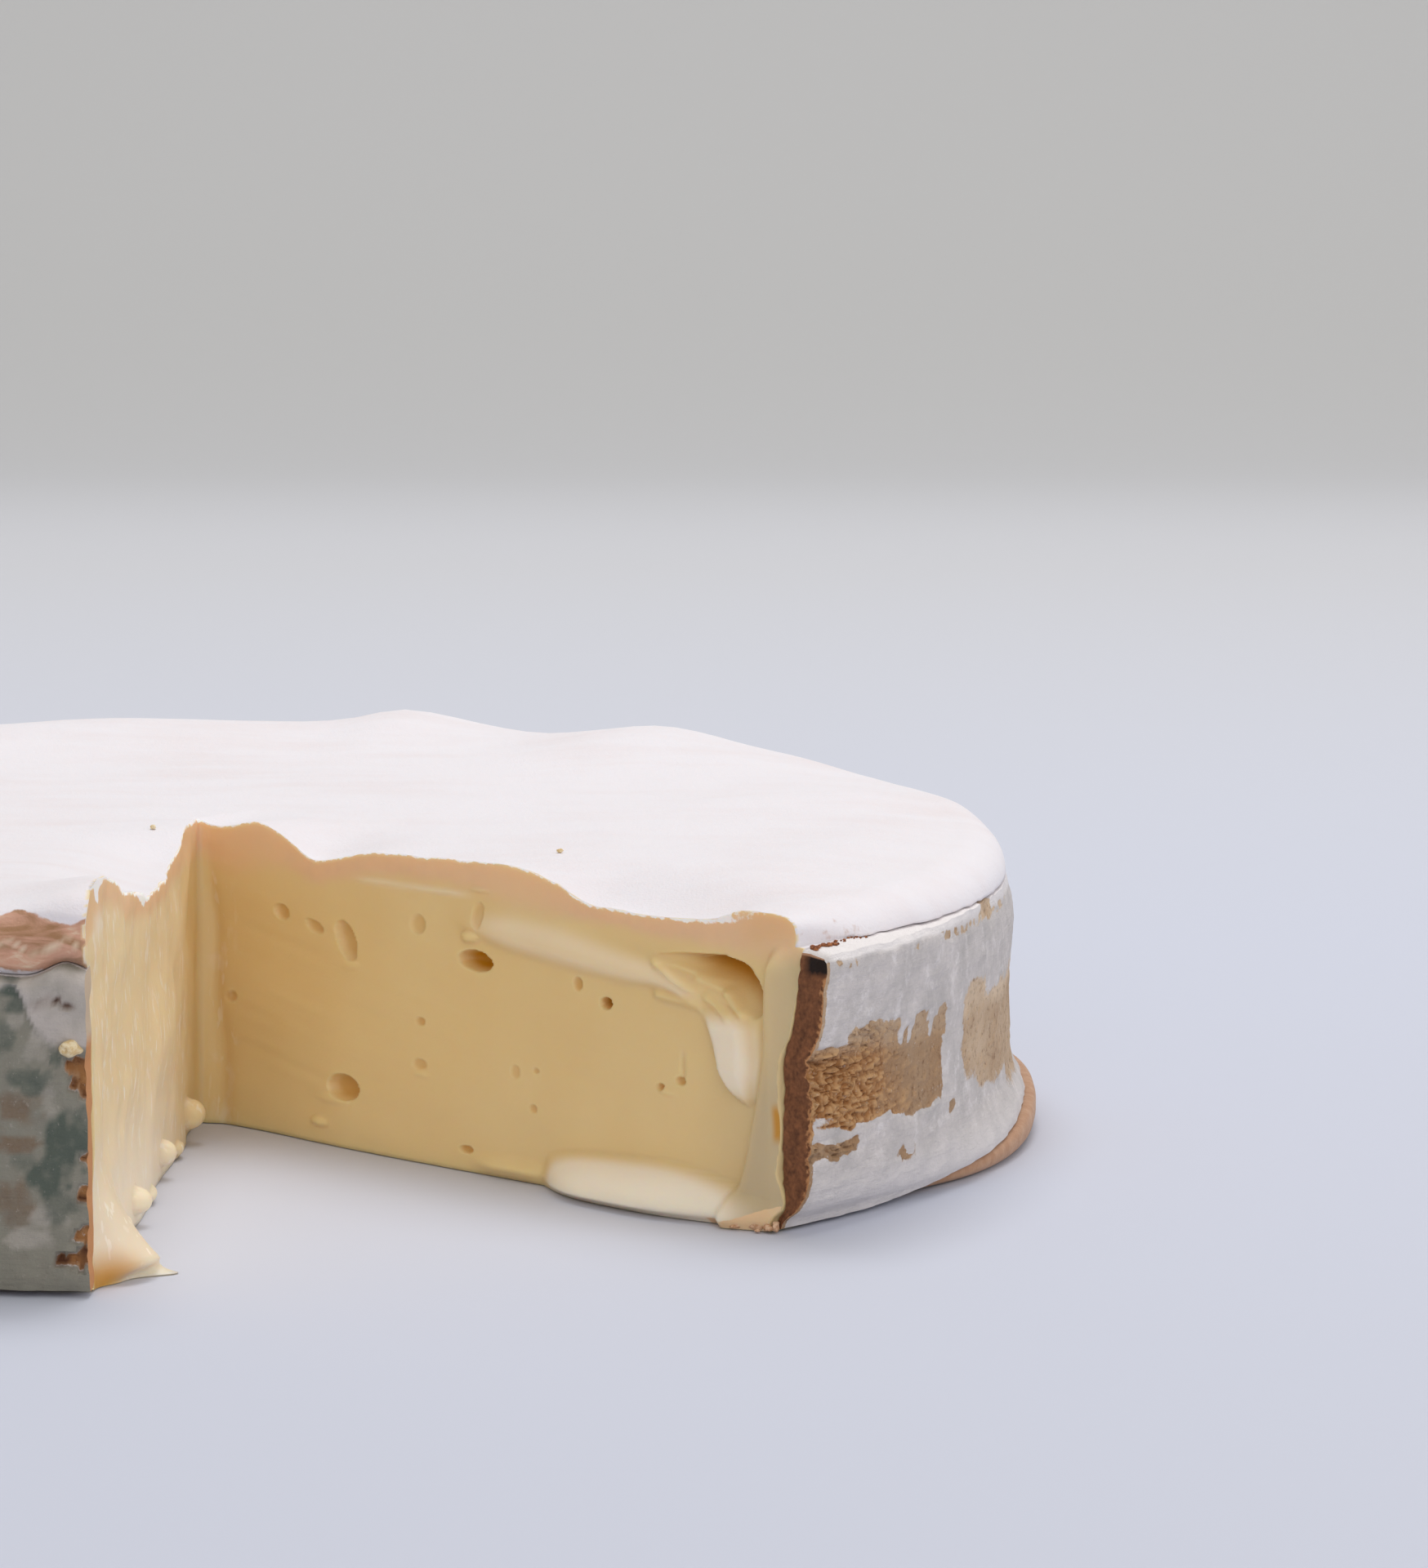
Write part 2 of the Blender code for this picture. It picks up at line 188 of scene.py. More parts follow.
# Height of the rind's edge along each cut
EDGE_RIGHT = (
    (0, 52.8), (5, 51.9), (10, 52.6), (15.5, 53.5), (20.5, 52.5), (25, 50.2), (28.2, 48.5), (33, 48.7),
    (42.5, 50.9), (55, 51.3), (74, 51.9), (84, 50.7), (92.5, 47.8), (100, 47.2), (114, 47.4),
    (121, 48.2), (127, 49.9), (133, 50.4),
)
EDGE_LEFT = (
    (0, 52.8), (5, 53.2), (18, 53.1), (29, 50.2), (51, 49.1), (67, 49.6), (84, 52.6), (97, 54.9),
    (107, 58), (118, 60.3), (131, 60.6),
)

# Broad swells of the top face: x, y, height, width
TOP_SWELLS = (
    (-6, -142, 6.6, 50), (30, 128, 3.0, 13), (78, 108, 1.8, 14), (10, 30, 0.7, 40), (-70, 50, 0.9, 35),
)


def heading(angle):
    """Unit directions in plan at angles in degrees."""
    turn = np.radians(angle)
    return np.stack((np.cos(turn), np.sin(turn)), -1)


def arc_length(angle):
    """Length round the wheel's side over an angle."""
    return np.radians(angle) * WHEEL_RADIUS


def into_gap(side):
    """Direction in plan that points out of a cut face, into the missing wedge."""
    return heading(CUT_RIGHT - 90.0) if side == "right" else heading(CUT_LEFT + 90.0)


def distance_to_cut(x, y, side):
    """Distance in plan from a cut face, measured into the cheese, and distance along the face."""
    along = heading(CUT_RIGHT if side == "right" else CUT_LEFT)
    away = -into_gap(side)
    return x * away[0] + y * away[1], x * along[0] + y * along[1]


print("gap of the cut: %.1f degrees" % (CUT_RIGHT + 360.0 - CUT_LEFT))

# %% [markdown]
# ## The round outline
#
# The strap is a little slack at its right end, where it flares away from the cheese, and it spreads over
# the foot at the back right, where the cheese has crept out below it. The cheese is everywhere a fit gap
# inside the strap. One function gives the outline of the cheese at any angle as a single line that runs
# up from the base, round the squeezed foot, up the wall, out over the bark and round the shoulder.

# %% Outline of the bark and of the cheese
# Rows of the cheese's side: in all, up to the strap's foot and up to its top
ROWS, FOOT_ROWS, BRIM_ROWS = 72, 8, 48
FOOT_SHARE = FOOT_ROWS / ROWS
BRIM_SHARE = BRIM_ROWS / ROWS


def bark_outside(angle, z):
    at_cut = bell(angle, CUT_RIGHT, 17.0)
    flare = at_cut * through(END_FLARE, z)
    spread = 0.62 * through(FOOT_REACH, angle) * (1.0 - smooth(2.0, 13.0, z))
    waver = 0.5 * np.sin(np.radians(3.0 * angle + 40.0)) * (1.0 - at_cut)
    belly = bell(angle, 0.0, 24.0) * (-0.3 * bell(z, 26.0, 12.0) - 1.1 * smooth(36.0, 45.0, z))
    return WHEEL_RADIUS + flare + spread + waver + belly - 0.5


def bark_inside(angle, z):
    at_cut = bell(angle, CUT_RIGHT, 17.0)
    thin = 4.2 * bell(angle, CUT_RIGHT, 7.0) * (1.0 - smooth(1.0, 10.0, z))
    return bark_outside(angle, z) - BARK_THICKNESS - 1.2 * at_cut + thin


def cheese_wall(angle, z):
    return bark_inside(angle, z) - FIT_GAP


def seam_height(angle):
    """Height of the strap's uneven top edge, which the rind rests on."""
    return through(BARK_TOP, angle) + 0.2 * grain(angle * 2.4, 0.0, 0.0, 2.2, 23)


def top_height(x, y):
    """Height of the top face, with its swells, its droop at the rim and its drop to each cut's edge."""
    z = WHEEL_HEIGHT + 0.22 * grain(x, y, 0.0, 24.0, 1) + 0.12 * grain(x, y, 0.0, 9.0, 2)
    for sx, sy, rise, width in TOP_SWELLS:
        z = z + rise * np.exp(-((x - sx) ** 2 + (y - sy) ** 2) / (2.0 * width * width))
    from_axis = np.hypot(x, y)
    turn = np.degrees(np.arctan2(y, x))
    turn = np.where(turn < CUT_RIGHT, turn + 360.0, turn)
    z = z + through(RIM_LIFT, turn) * smooth(70.0, 122.0, from_axis)
    z = z - 1.6 * smooth(112.0, 134.0, from_axis)
    for side, edge, ragged in (("right", EDGE_RIGHT, 0.22), ("left", EDGE_LEFT, 0.3)):
        inward, along = distance_to_cut(x, y, side)
        hold = np.exp(-((inward / 11.0) ** 2)) * smooth(-8.0, 0.0, along) * (inward > -0.01)
        close = np.exp(-((inward / 1.6) ** 2)) * smooth(0.0, 6.0, along)
        line = through(edge, np.maximum(along, 0.0)) + ragged * close * grain(along, 0.0, 0.0, 2.8, 3)
        z = z + (line - z) * hold
    return z


def outline(angle, v):
    """Radius and height of the cheese's outside at a share v of the way up, from base to rim."""
    foot = through(BARK_FOOT, angle)
    brim = seam_height(angle)
    ledge = foot - FIT_GAP
    nose = cheese_wall(angle, foot) + through(FOOT_REACH, angle)
    t = np.clip(v / FOOT_SHARE, 0.0, 1.0)
    a = np.clip(t / 0.75, 0.0, 1.0)
    foot_radius = nose - 2.6 + 2.6 * np.sin(0.85 * np.pi * a) ** 0.7
    foot_radius = foot_radius + (cheese_wall(angle, ledge) - foot_radius) * smooth(0.75, 1.0, t)
    foot_height = ledge * (0.5 - 0.5 * np.cos(np.pi * a))
    wall_height = ledge + (brim - ledge) * np.clip((v - FOOT_SHARE) / (BRIM_SHARE - FOOT_SHARE), 0.0, 1.0)
    wall_radius = cheese_wall(angle, wall_height)
    t = np.clip((v - BRIM_SHARE) / (1.0 - BRIM_SHARE), 0.0, 1.0)
    shoulder = cheese_wall(angle, brim) + through(SHOULDER_REACH, angle)
    rim = shoulder - SHOULDER_WIDTH
    way = heading(angle)
    crown = top_height(way[..., 0] * rim, way[..., 1] * rim)
    under = np.clip(t / 0.1, 0.0, 1.0)
    turn = 0.5 * np.pi * np.clip((t - 0.1) / 0.9, 0.0, 1.0)
    square = 2.0 / through(SHOULDER_SQUARENESS, angle)
    over_radius = rim + (shoulder - rim) * np.clip(np.cos(turn), 0.0, 1.0) ** square
    over_height = brim + SEAM_GAP + (crown - brim - SEAM_GAP) * np.sin(turn) ** square
    folds = smooth(205.0, 250.0, angle) * band(over_height, 50.5, 57.5, 0.8)
    over_radius = over_radius + 0.3 * folds * np.sin(1.25 * over_height + 3.0 * np.sin(0.35 * angle))
    over_radius = np.where(t < 0.1, wall_radius + (shoulder - 0.4 - wall_radius) * under, over_radius)
    over_height = np.where(t < 0.1, brim + SEAM_GAP * under, over_height)
    radius = np.where(v < FOOT_SHARE, foot_radius, np.where(v <= BRIM_SHARE, wall_radius, over_radius))
    height = np.where(v < FOOT_SHARE, foot_height, np.where(v <= BRIM_SHARE, wall_height, over_height))
    return radius, height


print("outline at the right cut:", [tuple(np.round(outline(CUT_RIGHT, v), 1)) for v in (0.0, 0.5, 0.8, 1.0)])

# %% [markdown]
# ## What the knife and the run of the paste did to the right face
#
# A knife pulled through ripe paste leaves a low, uneven plane. Here it also smeared a band below the
# rind, tore a scoop out beside the bark and let a tongue of paste run down from it. The paste has folded
# into a curtain against the strap and into a roll along the foot, and near the axis the corner of the
# wedge was overcut. Each of these is one small function that says how far the face stands out of its
# plane at a place, so they can be added up and changed one by one.

# %% Forms of the right face
VERTEX_CREASE = ((0, 5.5), (15, 5.0), (25, 3.6), (40, 3.0))
VERTEX_DEPTH = ((0, 1.8), (12, 2.0), (22, 1.3), (35, 1.8), (42, 0.9), (48, 0.4), (56, 0.3))
CURTAIN_CREASE = (
    (0, 125.0), (5, 126.2), (10, 128), (15, 129.2), (20, 130.4), (28, 131.8), (35, 132),
    (42, 132.6), (46, 134),
)
ROLL_REACH = ((83, 0), (88.5, 4.4), (94, 7.0), (103, 8), (115, 7.6), (124, 5), (131, 1.8), (138, 0))
ROLL_HEIGHT = ((80, 3.5), (88, 5.0), (100, 6.0), (115, 6.3), (125, 5.0), (138, 3.0))
SMEAR_TOP = ((60, 45.0), (88, 44.5), (100, 42), (108, 40.5), (118, 37.5), (125, 36))
SMEAR_FOOT = ((60, 41), (70, 39), (85, 37), (100, 35.8), (113, 35.2), (117, 34), (125, 32))
SCOOP_LIP = ((106, 40.7), (112, 41.8), (118, 42.3), (125, 42.2), (129, 40.6), (131, 37.8), (131.9, 35.2))
SCOOP_SILL = ((106, 40.2), (113, 38.4), (120, 36), (127, 33.9), (130.5, 33.2), (131.9, 34.8))
SCOOP_DEPTH = 7.6
TONGUE_LEFT = (
    (19.0, 128.2), (20.0, 125.6), (22.8, 122.4), (26, 120.7), (29.2, 119.2), (32.2, 117),
    (34, 114), (36, 112),
)
TONGUE_RIGHT = ((19.0, 128.6), (20.2, 130.4), (22, 131.2), (25.8, 132.2), (29, 132.2), (33, 131.6), (36, 131))
TONGUE_REACH = 3.0


def vertex_hollow(s, z):
    crease = through(VERTEX_CREASE, z)
    return through(VERTEX_DEPTH, z) * smooth(0.3, crease, s) * (1.0 - smooth(crease + 3.0, 38.0, s))


def curtain(s, z):
    crease = through(CURTAIN_CREASE, z)
    fold = smooth(crease - 0.8, crease + 2.2, s) - 0.25 * smooth(crease + 3.0, crease + 9.0, s)
    at_bark = 1.0 - 0.75 * smooth(134.5, 138.5, s)
    return 3.0 * fold * at_bark * (1.0 - smooth(41.0, 46.5, z))


def roll(s, z):
    up = np.clip((z - 1.4) / through(ROLL_HEIGHT, s), 0.0, 1.0)
    tuck = 1.0 - 0.35 * (1.0 - smooth(0.0, 1.6, z))
    return through(ROLL_REACH, s) * (1.0 - up ** 2) ** 0.8 * tuck * (s > 80.0)


def smear(s, z):
    low, high = through(SMEAR_FOOT, s), through(SMEAR_TOP, s)
    t = (z - low) / (high - low)
    fold = smooth(-0.15, 0.32, t) * (1.0 - smooth(0.35, 1.15, t))
    return 1.9 * fold * smooth(60.0, 78.0, s) * (1.0 - smooth(112.0, 121.0, s))


def scoop(s, z):
    """Depth of the scoop, and how far below its lip a place is, from 0 at the lip to 1 at the sill."""
    lip, sill = through(SCOOP_LIP, s), through(SCOOP_SILL, s)
    tall = np.maximum(lip - sill, 0.3)
    down = (lip - z) / tall
    inside = (down > 0.0) & (down < 1.0) & (s > 106.0) & (s < 131.9)
    profile = smooth(0.0, 0.16, down) * np.clip(1.0 - down, 0.0, 1.0) ** 0.9
    depth = SCOOP_DEPTH * smooth(105.0, 127.0, s) * np.minimum(1.0, tall / 6.0) * profile
    return np.where(inside, depth, 0.0), np.clip(down, 0.0, 1.0)


def tongue(s, z):
    """The tongue that hangs from the scoop's sill: a full lobe on the left, a low one on the right."""
    left, right = through(TONGUE_LEFT, z), through(TONGUE_RIGHT, z)
    t = np.clip((s - left) / (right - left), 0.0, 1.0)
    full = smooth(0.0, 0.26, t) * (1.0 - 0.5 * smooth(0.58, 0.80, t)) * (1.0 - smooth(0.88, 1.0, t))
    ends = np.clip((z - 19.0) / 5.5, 0.0, 1.0) ** 0.55 * (1.0 - smooth(30.5, 34.6, z))
    return TONGUE_REACH * full * ends * (0.75 + 0.25 * smooth(32.0, 22.0, z))


def ridge(s, z, start, end, width):
    """A low ridge along a line on the face, thinning towards both ends."""
    run, fall = end[0] - start[0], end[1] - start[1]
    length = math.hypot(run, fall)
    t = ((s - start[0]) * run + (z - start[1]) * fall) / length ** 2
    off = ((z - start[1]) * run - (s - start[0]) * fall) / length
    return bell(off, 0.0, width) * smooth(0.0, 0.2, t) * (1.0 - smooth(0.75, 1.0, t))


# Strands of paste drawn across the scoop: from, to, width, height
STRANDS = (
    ((106.5, 41.0), (118.6, 35.3), 0.55, 1.2), ((107.5, 40.6), (124.0, 37.4), 0.6, 0.8),
    ((115.5, 38.4), (125.0, 36.0), 0.6, 0.9), ((122.0, 36.9), (128.5, 32.6), 0.7, 1.1),
    ((118.0, 35.9), (126.5, 31.8), 0.6, 0.9), ((107.0, 34.9), (119.5, 33.9), 1.0, 1.3),
)

# Eyes and dimples: s, z, half length, half height, depth, turn, how amber the inside is painted, a painted
# shade in the hollow
EYES = (
    (20.5, 38.6, 1.9, 1.4, 1.1, 0, 0.35), (29.0, 37.0, 2.3, 1.1, 0.8, -16, 0.3),
    (37.0, 35.5, 2.1, 3.7, 1.9, 30, 0.35), (54.3, 40.1, 1.8, 1.7, 0.7, 20, 0.25),
    (67.6, 35.4, 3.9, 1.75, 3.4, -4, 1.0), (68.6, 43.0, 1.4, 2.3, 0.7, 0, 0.2),
    (97.0, 31.7, 1.4, 1.05, 2.4, 0, 1.0), (90.8, 34.2, 1.0, 1.2, 0.6, 0, 0.5),
    (54.7, 23.8, 1.1, 0.8, 0.5, 0, 0.4), (54.5, 16.6, 1.7, 1.0, 0.5, 0, 0.3),
    (35.8, 10.3, 3.9, 2.3, 2.6, 0, 0.6), (65.2, 3.6, 1.6, 0.7, 0.8, 0, 0.55),
    (6.8, 22.4, 1.6, 1.0, 0.4, 10, 0.3), (109.0, 19.5, 0.9, 0.6, 0.9, 0, 0.5),
    (113.3, 21.0, 1.1, 0.75, 0.9, 0, 0.5), (80.5, 12.3, 0.9, 0.8, 0.4, 0, 0.35),
    (81.2, 18.7, 0.7, 0.5, 0.3, 0, 0.3), (76.5, 18.0, 1.1, 1.2, 0.3, 0, 0.25),
)

# Small lumps of paste left standing: s, z, half length, half height, how far they stand out
LUMPS_RIGHT = (
    (66.6, 39.3, 2.1, 1.1, 1.4), (29.5, 3.7, 2.2, 0.9, 0.9), (44.0, 46.3, 6.0, 0.5, 0.35),
    (58.0, 46.2, 7.0, 0.5, 0.4), (68.5, 47.3, 2.4, 0.5, 0.5), (55.0, 15.0, 2.2, 0.6, 0.3),
    (110.5, 19.0, 2.4, 0.7, 0.4), (33.0, 8.0, 5.0, 1.0, 0.35), (38.0, 31.5, 2.5, 0.9, 0.3),
)


def across(s, z, eye):
    """Distance from an eye's middle, as a share of its size in that direction."""
    turn = math.radians(eye[5])
    ds, dz = s - eye[0], z - eye[1]
    long = ds * math.cos(turn) + dz * math.sin(turn)
    tall = dz * math.cos(turn) - ds * math.sin(turn)
    return np.hypot(long / eye[2], tall / eye[3])


def eyes(s, z):
    """Depth of the eyes, and how amber their insides are painted: painted shade in the hollows."""
    depth, amber = 0.0, 0.0
    for eye in EYES:
        away = across(s, z, eye)
        depth = np.maximum(depth, eye[4] * np.sqrt(np.clip(1.0 - away ** 2, 0.0, 1.0)))
        amber = np.maximum(amber, eye[6] * (1.0 - smooth(0.55, 1.12, away)))
    return depth, amber


def relief_right(s, z):
    """How far the right face stands out of its plane."""
    out = curtain(s, z) + roll(s, z) + smear(s, z) + tongue(s, z) - vertex_hollow(s, z)
    out = out - scoop(s, z)[0] - eyes(s, z)[0]
    for start, end, width, rise in STRANDS:
        out = out + rise * ridge(s, z, start, end, width)
    out = out + 1.5 * band(s, 69.0, 83.0, 4.0) * bell(z, 1.9, 1.2)
    out = out - 0.5 * bell(s, 113.8, 0.35) * band(z, 21.5, 25.5, 1.0)
    for ls, lz, long, tall, rise in LUMPS_RIGHT:
        out = out + rise * np.clip(1.0 - ((s - ls) / long) ** 2 - ((z - lz) / tall) ** 2, 0.0, 1.0) ** 0.8
    drag = z + 0.16 * s
    out = out + 0.30 * grain(s, z, 0.0, 26.0, 4) + 0.12 * grain(s, z, 0.0, 8.0, 5)
    out = out + 0.07 * grain(0.12 * s, drag, 0.0, 1.6, 6) * (1.0 - smooth(100.0, 112.0, s))
    return out * smooth(0.0, 3.0, s)


s_test = np.array((2.0, 36.0, 67.6, 100.0, 128.0))
print("right face stands out at z 40:", np.round(relief_right(s_test, np.full(5, 40.0)), 2))

# %% [markdown]
# ## The left face
#
# The left face is seen almost edge on. The knife came out of it with paste clinging to it, which left
# upright ridges, points along the rind's edge and a thin drip of white rind. A dollop has slid to its
# foot beside the bark and ends in a fine tail on the table.

# %% Forms of the left face
DOLLOP_S = 125.0
DOLLOP_WIDTH = 8.5
DOLLOP_HEIGHT = 19.0
DOLLOP_REACH = 10.8
LUMPS_LEFT = (
    (20, 5.0, 3.0, 2.7, 3.3), (50, 4.2, 2.6, 2.2, 2.5), (88, 4.0, 2.7, 2.2, 2.6), (101, 2.8, 2.2, 1.5, 1.3),
    (33, 1.6, 3.0, 1.2, 1.2), (70, 1.4, 3.5, 1.2, 1.0),
)


def relief_left(s, z):
    """How far the left face stands out of its plane."""
    out = 0.9 * bell(s, 70.0, 40.0) * bell(z, 26.0, 20.0)
    rise = np.clip(1.0 - z / DOLLOP_HEIGHT, 0.0, 1.0)
    undercut = 1.0 - 0.6 * (1.0 - smooth(0.2, 3.0, z)) * smooth(119.0, 126.0, s)
    reach = DOLLOP_REACH * rise ** 1.6 * undercut * bell(s, DOLLOP_S, DOLLOP_WIDTH)
    out = out + reach * (1.0 - smooth(130.0, 135.0, s))
    out = out + 5.0 * np.exp(-z / 1.1) * bell(s, DOLLOP_S - 1.5, 2.6)
    for ls, lz, long, tall, reach in LUMPS_LEFT:
        out = out + reach * np.clip(1.0 - ((s - ls) / long) ** 2 - ((z - lz) / tall) ** 2, 0.0, 1.0) ** 0.5
    ridges = 0.45 * grain(s, 0.6 * z, 0.0, 8.0, 7) + 0.22 * grain(s, 0.8 * z, 0.0, 4.0, 8)
    ridges = ridges * smooth(2.0, 12.0, z) + 0.6 * grain(s, z, 0.0, 12.0, 9)
    out = out + ridges * (1.0 - 0.8 * bell(z, 50.0, 3.5) * smooth(118.0, 127.0, s))
    torn = 0.16 * grain(s, 0.7 * z, 0.0, 2.4, 61) * smooth(8.0, 16.0, z)
    out = out + torn * (1.0 - smooth(124.0, 131.0, s))
    return out * smooth(0.0, 8.0, s)


def relief(side, s, z):
    return relief_right(s, z) if side == "right" else relief_left(s, z)


print("left face stands out at its foot by %.1f mm" % relief_left(np.array(125.0), np.array(0.5)))

# %% [markdown]
# ## Laying a flat grid over the forms
#
# The body is modelled as four cloth-like panels: the top, the outside and the two cut faces. Each starts
# as a grid primitive, is split finer in edit mode where small forms need it, and is then laid over the
# functions above. The panels share their edges exactly, so they can be merged into one closed skin.
# While a panel is laid, each of its points is given marks, such as how far below the rind it is. The
# materials read these marks later, so that colour follows form.

# %% Tools for panels
RING_GRADING = 1.4
STATION_CROWDING = 0.76


def only(*objects):
    """Select these objects and nothing else."""
    bpy.ops.object.select_all(action="DESELECT")
    for item in objects:
        item.select_set(True)
    bpy.context.view_layer.objects.active = objects[0]


def flat_panel(name, columns, rows):
    """A grid that fills the unit square: X runs along the panel and Y up it."""
    bpy.ops.object.select_all(action="DESELECT")
    bpy.ops.mesh.primitive_grid_add(
        x_subdivisions=columns, y_subdivisions=rows, size=1.0, location=(0.5, 0.5, 0.0)
    )
    panel = bpy.context.active_object
    panel.name = name
    bpy.ops.object.transform_apply(location=True, rotation=True, scale=True)
    return panel


def refine(panel, wanted):
    """Split the faces that the test picks by the place of their middles."""
    mesh = panel.data
    middles = np.empty(len(mesh.polygons) * 3)
    mesh.polygons.foreach_get("center", middles)
    u, v = middles.reshape(-1, 3)[:, :2].T
    bpy.ops.object.mode_set(mode="EDIT")
    bpy.ops.mesh.select_mode(type="FACE")
    bpy.ops.mesh.select_all(action="DESELECT")
    bpy.ops.object.mode_set(mode="OBJECT")
    mesh.polygons.foreach_set("select", wanted(u, v))
    bpy.ops.object.mode_set(mode="EDIT")
    bpy.ops.mesh.subdivide(number_cuts=1)
    bpy.ops.object.mode_set(mode="OBJECT")


def lay(panel, place):
    """Move the panel's points to where place says, and store the marks that it gives."""
    mesh = panel.data
    flat = np.empty(len(mesh.vertices) * 3)
    mesh.vertices.foreach_get("co", flat)
    u, v = np.round(flat.reshape(-1, 3)[:, :2].T, 6)
    points, marks = place(u, v)
    mesh.vertices.foreach_set("co", (points * MM).ravel())
    for name, values in marks.items():
        mark = mesh.attributes.new(name, "FLOAT", "POINT")
        mark.data.foreach_set("value", np.broadcast_to(values, u.shape).astype(np.float32))
    mesh.update()


def ring_share(t):
    """Share of the radius at a ring, closer together towards the rim."""
    return 1.0 - (1.0 - t) ** RING_GRADING


def station(t):
    """Angle of a station round the wheel, closer together towards the two cuts."""
    eased = t - STATION_CROWDING * np.sin(2.0 * np.pi * t) / (2.0 * np.pi)
    return CUT_RIGHT + (CUT_LEFT - CUT_RIGHT) * eased


print("stations at the right cut:", np.round(station(np.arange(4) / 240.0), 2))

# %% [markdown]
# ## Where each point of the cheese goes
#
# Beside a cut, the top and the outside follow the relief of the cut's edge, and that pull fades within
# a few millimetres. The marks are lengths in millimetres or shares from 0 to 1:
#
# - below_edge: depth below the rind's edge on a cut face, and less than 0 away from the cuts
# - peel and white_reach: how thick the rind's peach layer is, and how far the white hangs over it
# - amber, cream and shade: painted shade in hollows and creases, smears painted paler (partly a painted
#   highlight), and painted shade on folds turned from the light
# - streak: where the knife left pale streaks, partly painted highlights of wet paste
# - crust and line: where the rind has lost its white, and a pale line that runs along it
# - flesh: where the skin is paste, not rind

# %% Places and marks of the cheese
PEEL_RIGHT = (
    (0, 6), (14, 8), (26, 4.6), (45, 4.1), (65, 4.6), (80, 6.4), (94, 3.2), (110, 3.7), (122, 4.4),
    (131, 6.0), (140, 6.4),
)
PEEL_LEFT = ((0, 6), (15, 6.5), (30, 4), (50, 3.4), (85, 4.5), (118, 5), (140, 7.5))
CORNER_SLOPE = 0.91
CORNER_ROUNDING = 1.5


def follow_cuts(x, y, z):
    """Move points beside a cut along with the relief of its edge."""
    moved_x, moved_y = x, y
    for side in ("right", "left"):
        inward, along = distance_to_cut(x, y, side)
        beside = (along > 0.0) & (inward > -0.01) & (inward < 40.0)
        pull = np.where(beside, relief(side, along, z) * np.exp(-((inward / 9.0) ** 2)), 0.0)
        way = into_gap(side)
        moved_x, moved_y = moved_x + way[0] * pull, moved_y + way[1] * pull
    return moved_x, moved_y


def round_corner(x, y, from_axis):
    """Ease the inner corner of the wedge, where the two cuts meet, towards the gap."""
    way = heading(0.5 * (CUT_RIGHT + CUT_LEFT - 360.0))
    run = CORNER_SLOPE * from_axis
    ease = (np.sqrt(run ** 2 + CORNER_ROUNDING ** 2) - run) * (1.0 - smooth(8.0, 30.0, from_axis))
    return x + way[0] * ease, y + way[1] * ease


def away_from_cuts(x, y):
    """Distance from the nearer cut."""
    nearest = np.full(np.shape(x), 60.0)
    for side in ("right", "left"):
        inward, along = distance_to_cut(x, y, side)
        beside = (along > 0.0) & (inward > -0.05)
        nearest = np.where(beside, np.minimum(nearest, np.maximum(inward, 0.0)), nearest)
    return nearest


def rind_marks(x, y, crust, flesh=0.0, line=0.0):
    none = np.zeros(x.shape)
    return {
        "below_edge": -away_from_cuts(x, y), "peel": none + 4.0, "white_reach": none + 0.1,
        "amber": none, "cream": none, "streak": none, "shade": none, "crust": crust, "flesh": none + flesh,
        "line": none + line,
    }


def top_place(u, v):
    angle = station(u)
    rim = outline(angle, np.ones(u.shape))[0]
    way = heading(angle) * (ring_share(v) * rim)[:, None]
    x, y = way.T
    z = top_height(x, y)
    moved = round_corner(*follow_cuts(x, y, z), np.hypot(x, y))
    return np.stack((*moved, z), -1), rind_marks(x, y, np.zeros(u.shape))


def outside_place(u, v):
    angle = station(u)
    radius, z = outline(angle, v)
    way = heading(angle) * radius[:, None]
    x, y = way.T
    moved = follow_cuts(x, y, z)
    foot = 1.0 - smooth(FOOT_SHARE, FOOT_SHARE + 0.1, v)
    left_band = smooth(205.0, 255.0, angle) * band(z, 49.0, 56.9 + 0.9 * np.sin(1.1 * angle), 1.3)
    beside = 1.0 - smooth(4.0, 9.0, away_from_cuts(x, y))
    under_strap = beside * (1.0 - smooth(0.60, 0.64, v))
    uneven = z + 1.2 * grain(angle, 0.0, 0.0, 1.5, 32)
    at_seam = smooth(-33.0, -37.0, angle) * (1.0 - smooth(47.2, 50.5, uneven))
    crust = np.maximum(np.maximum(foot, left_band), 0.34 * at_seam)
    wavy = 52.6 + 0.9 * np.sin(1.7 * angle) + 0.8 * grain(angle, 0.0, 0.0, 0.9, 52)
    line = bell(z, wavy, 0.3) * smooth(244.0, 256.0, angle)
    return np.stack((*moved, z), -1), rind_marks(x, y, crust, under_strap, line)


def on_face(side, u, v):
    """Distance from the axis and height of a cut face's point, and of the rind's edge above it."""
    angle = np.full(np.shape(u), CUT_RIGHT if side == "right" else CUT_LEFT)
    radius, height = outline(angle, v)
    rim, crown = outline(angle, np.ones(np.shape(u)))
    share = ring_share(u)
    level = v + (height / crown - v) * smooth(0.55, 1.0, share)
    way = heading(angle) * (share * rim)[:, None]
    edge = top_height(way[:, 0], way[:, 1])
    near_wall = smooth(0.8 if side == "right" else 0.94, 1.0, share)
    even = share * (rim + (radius - rim) * near_wall)
    return even, edge * level, edge, (1.0 - share) * radius


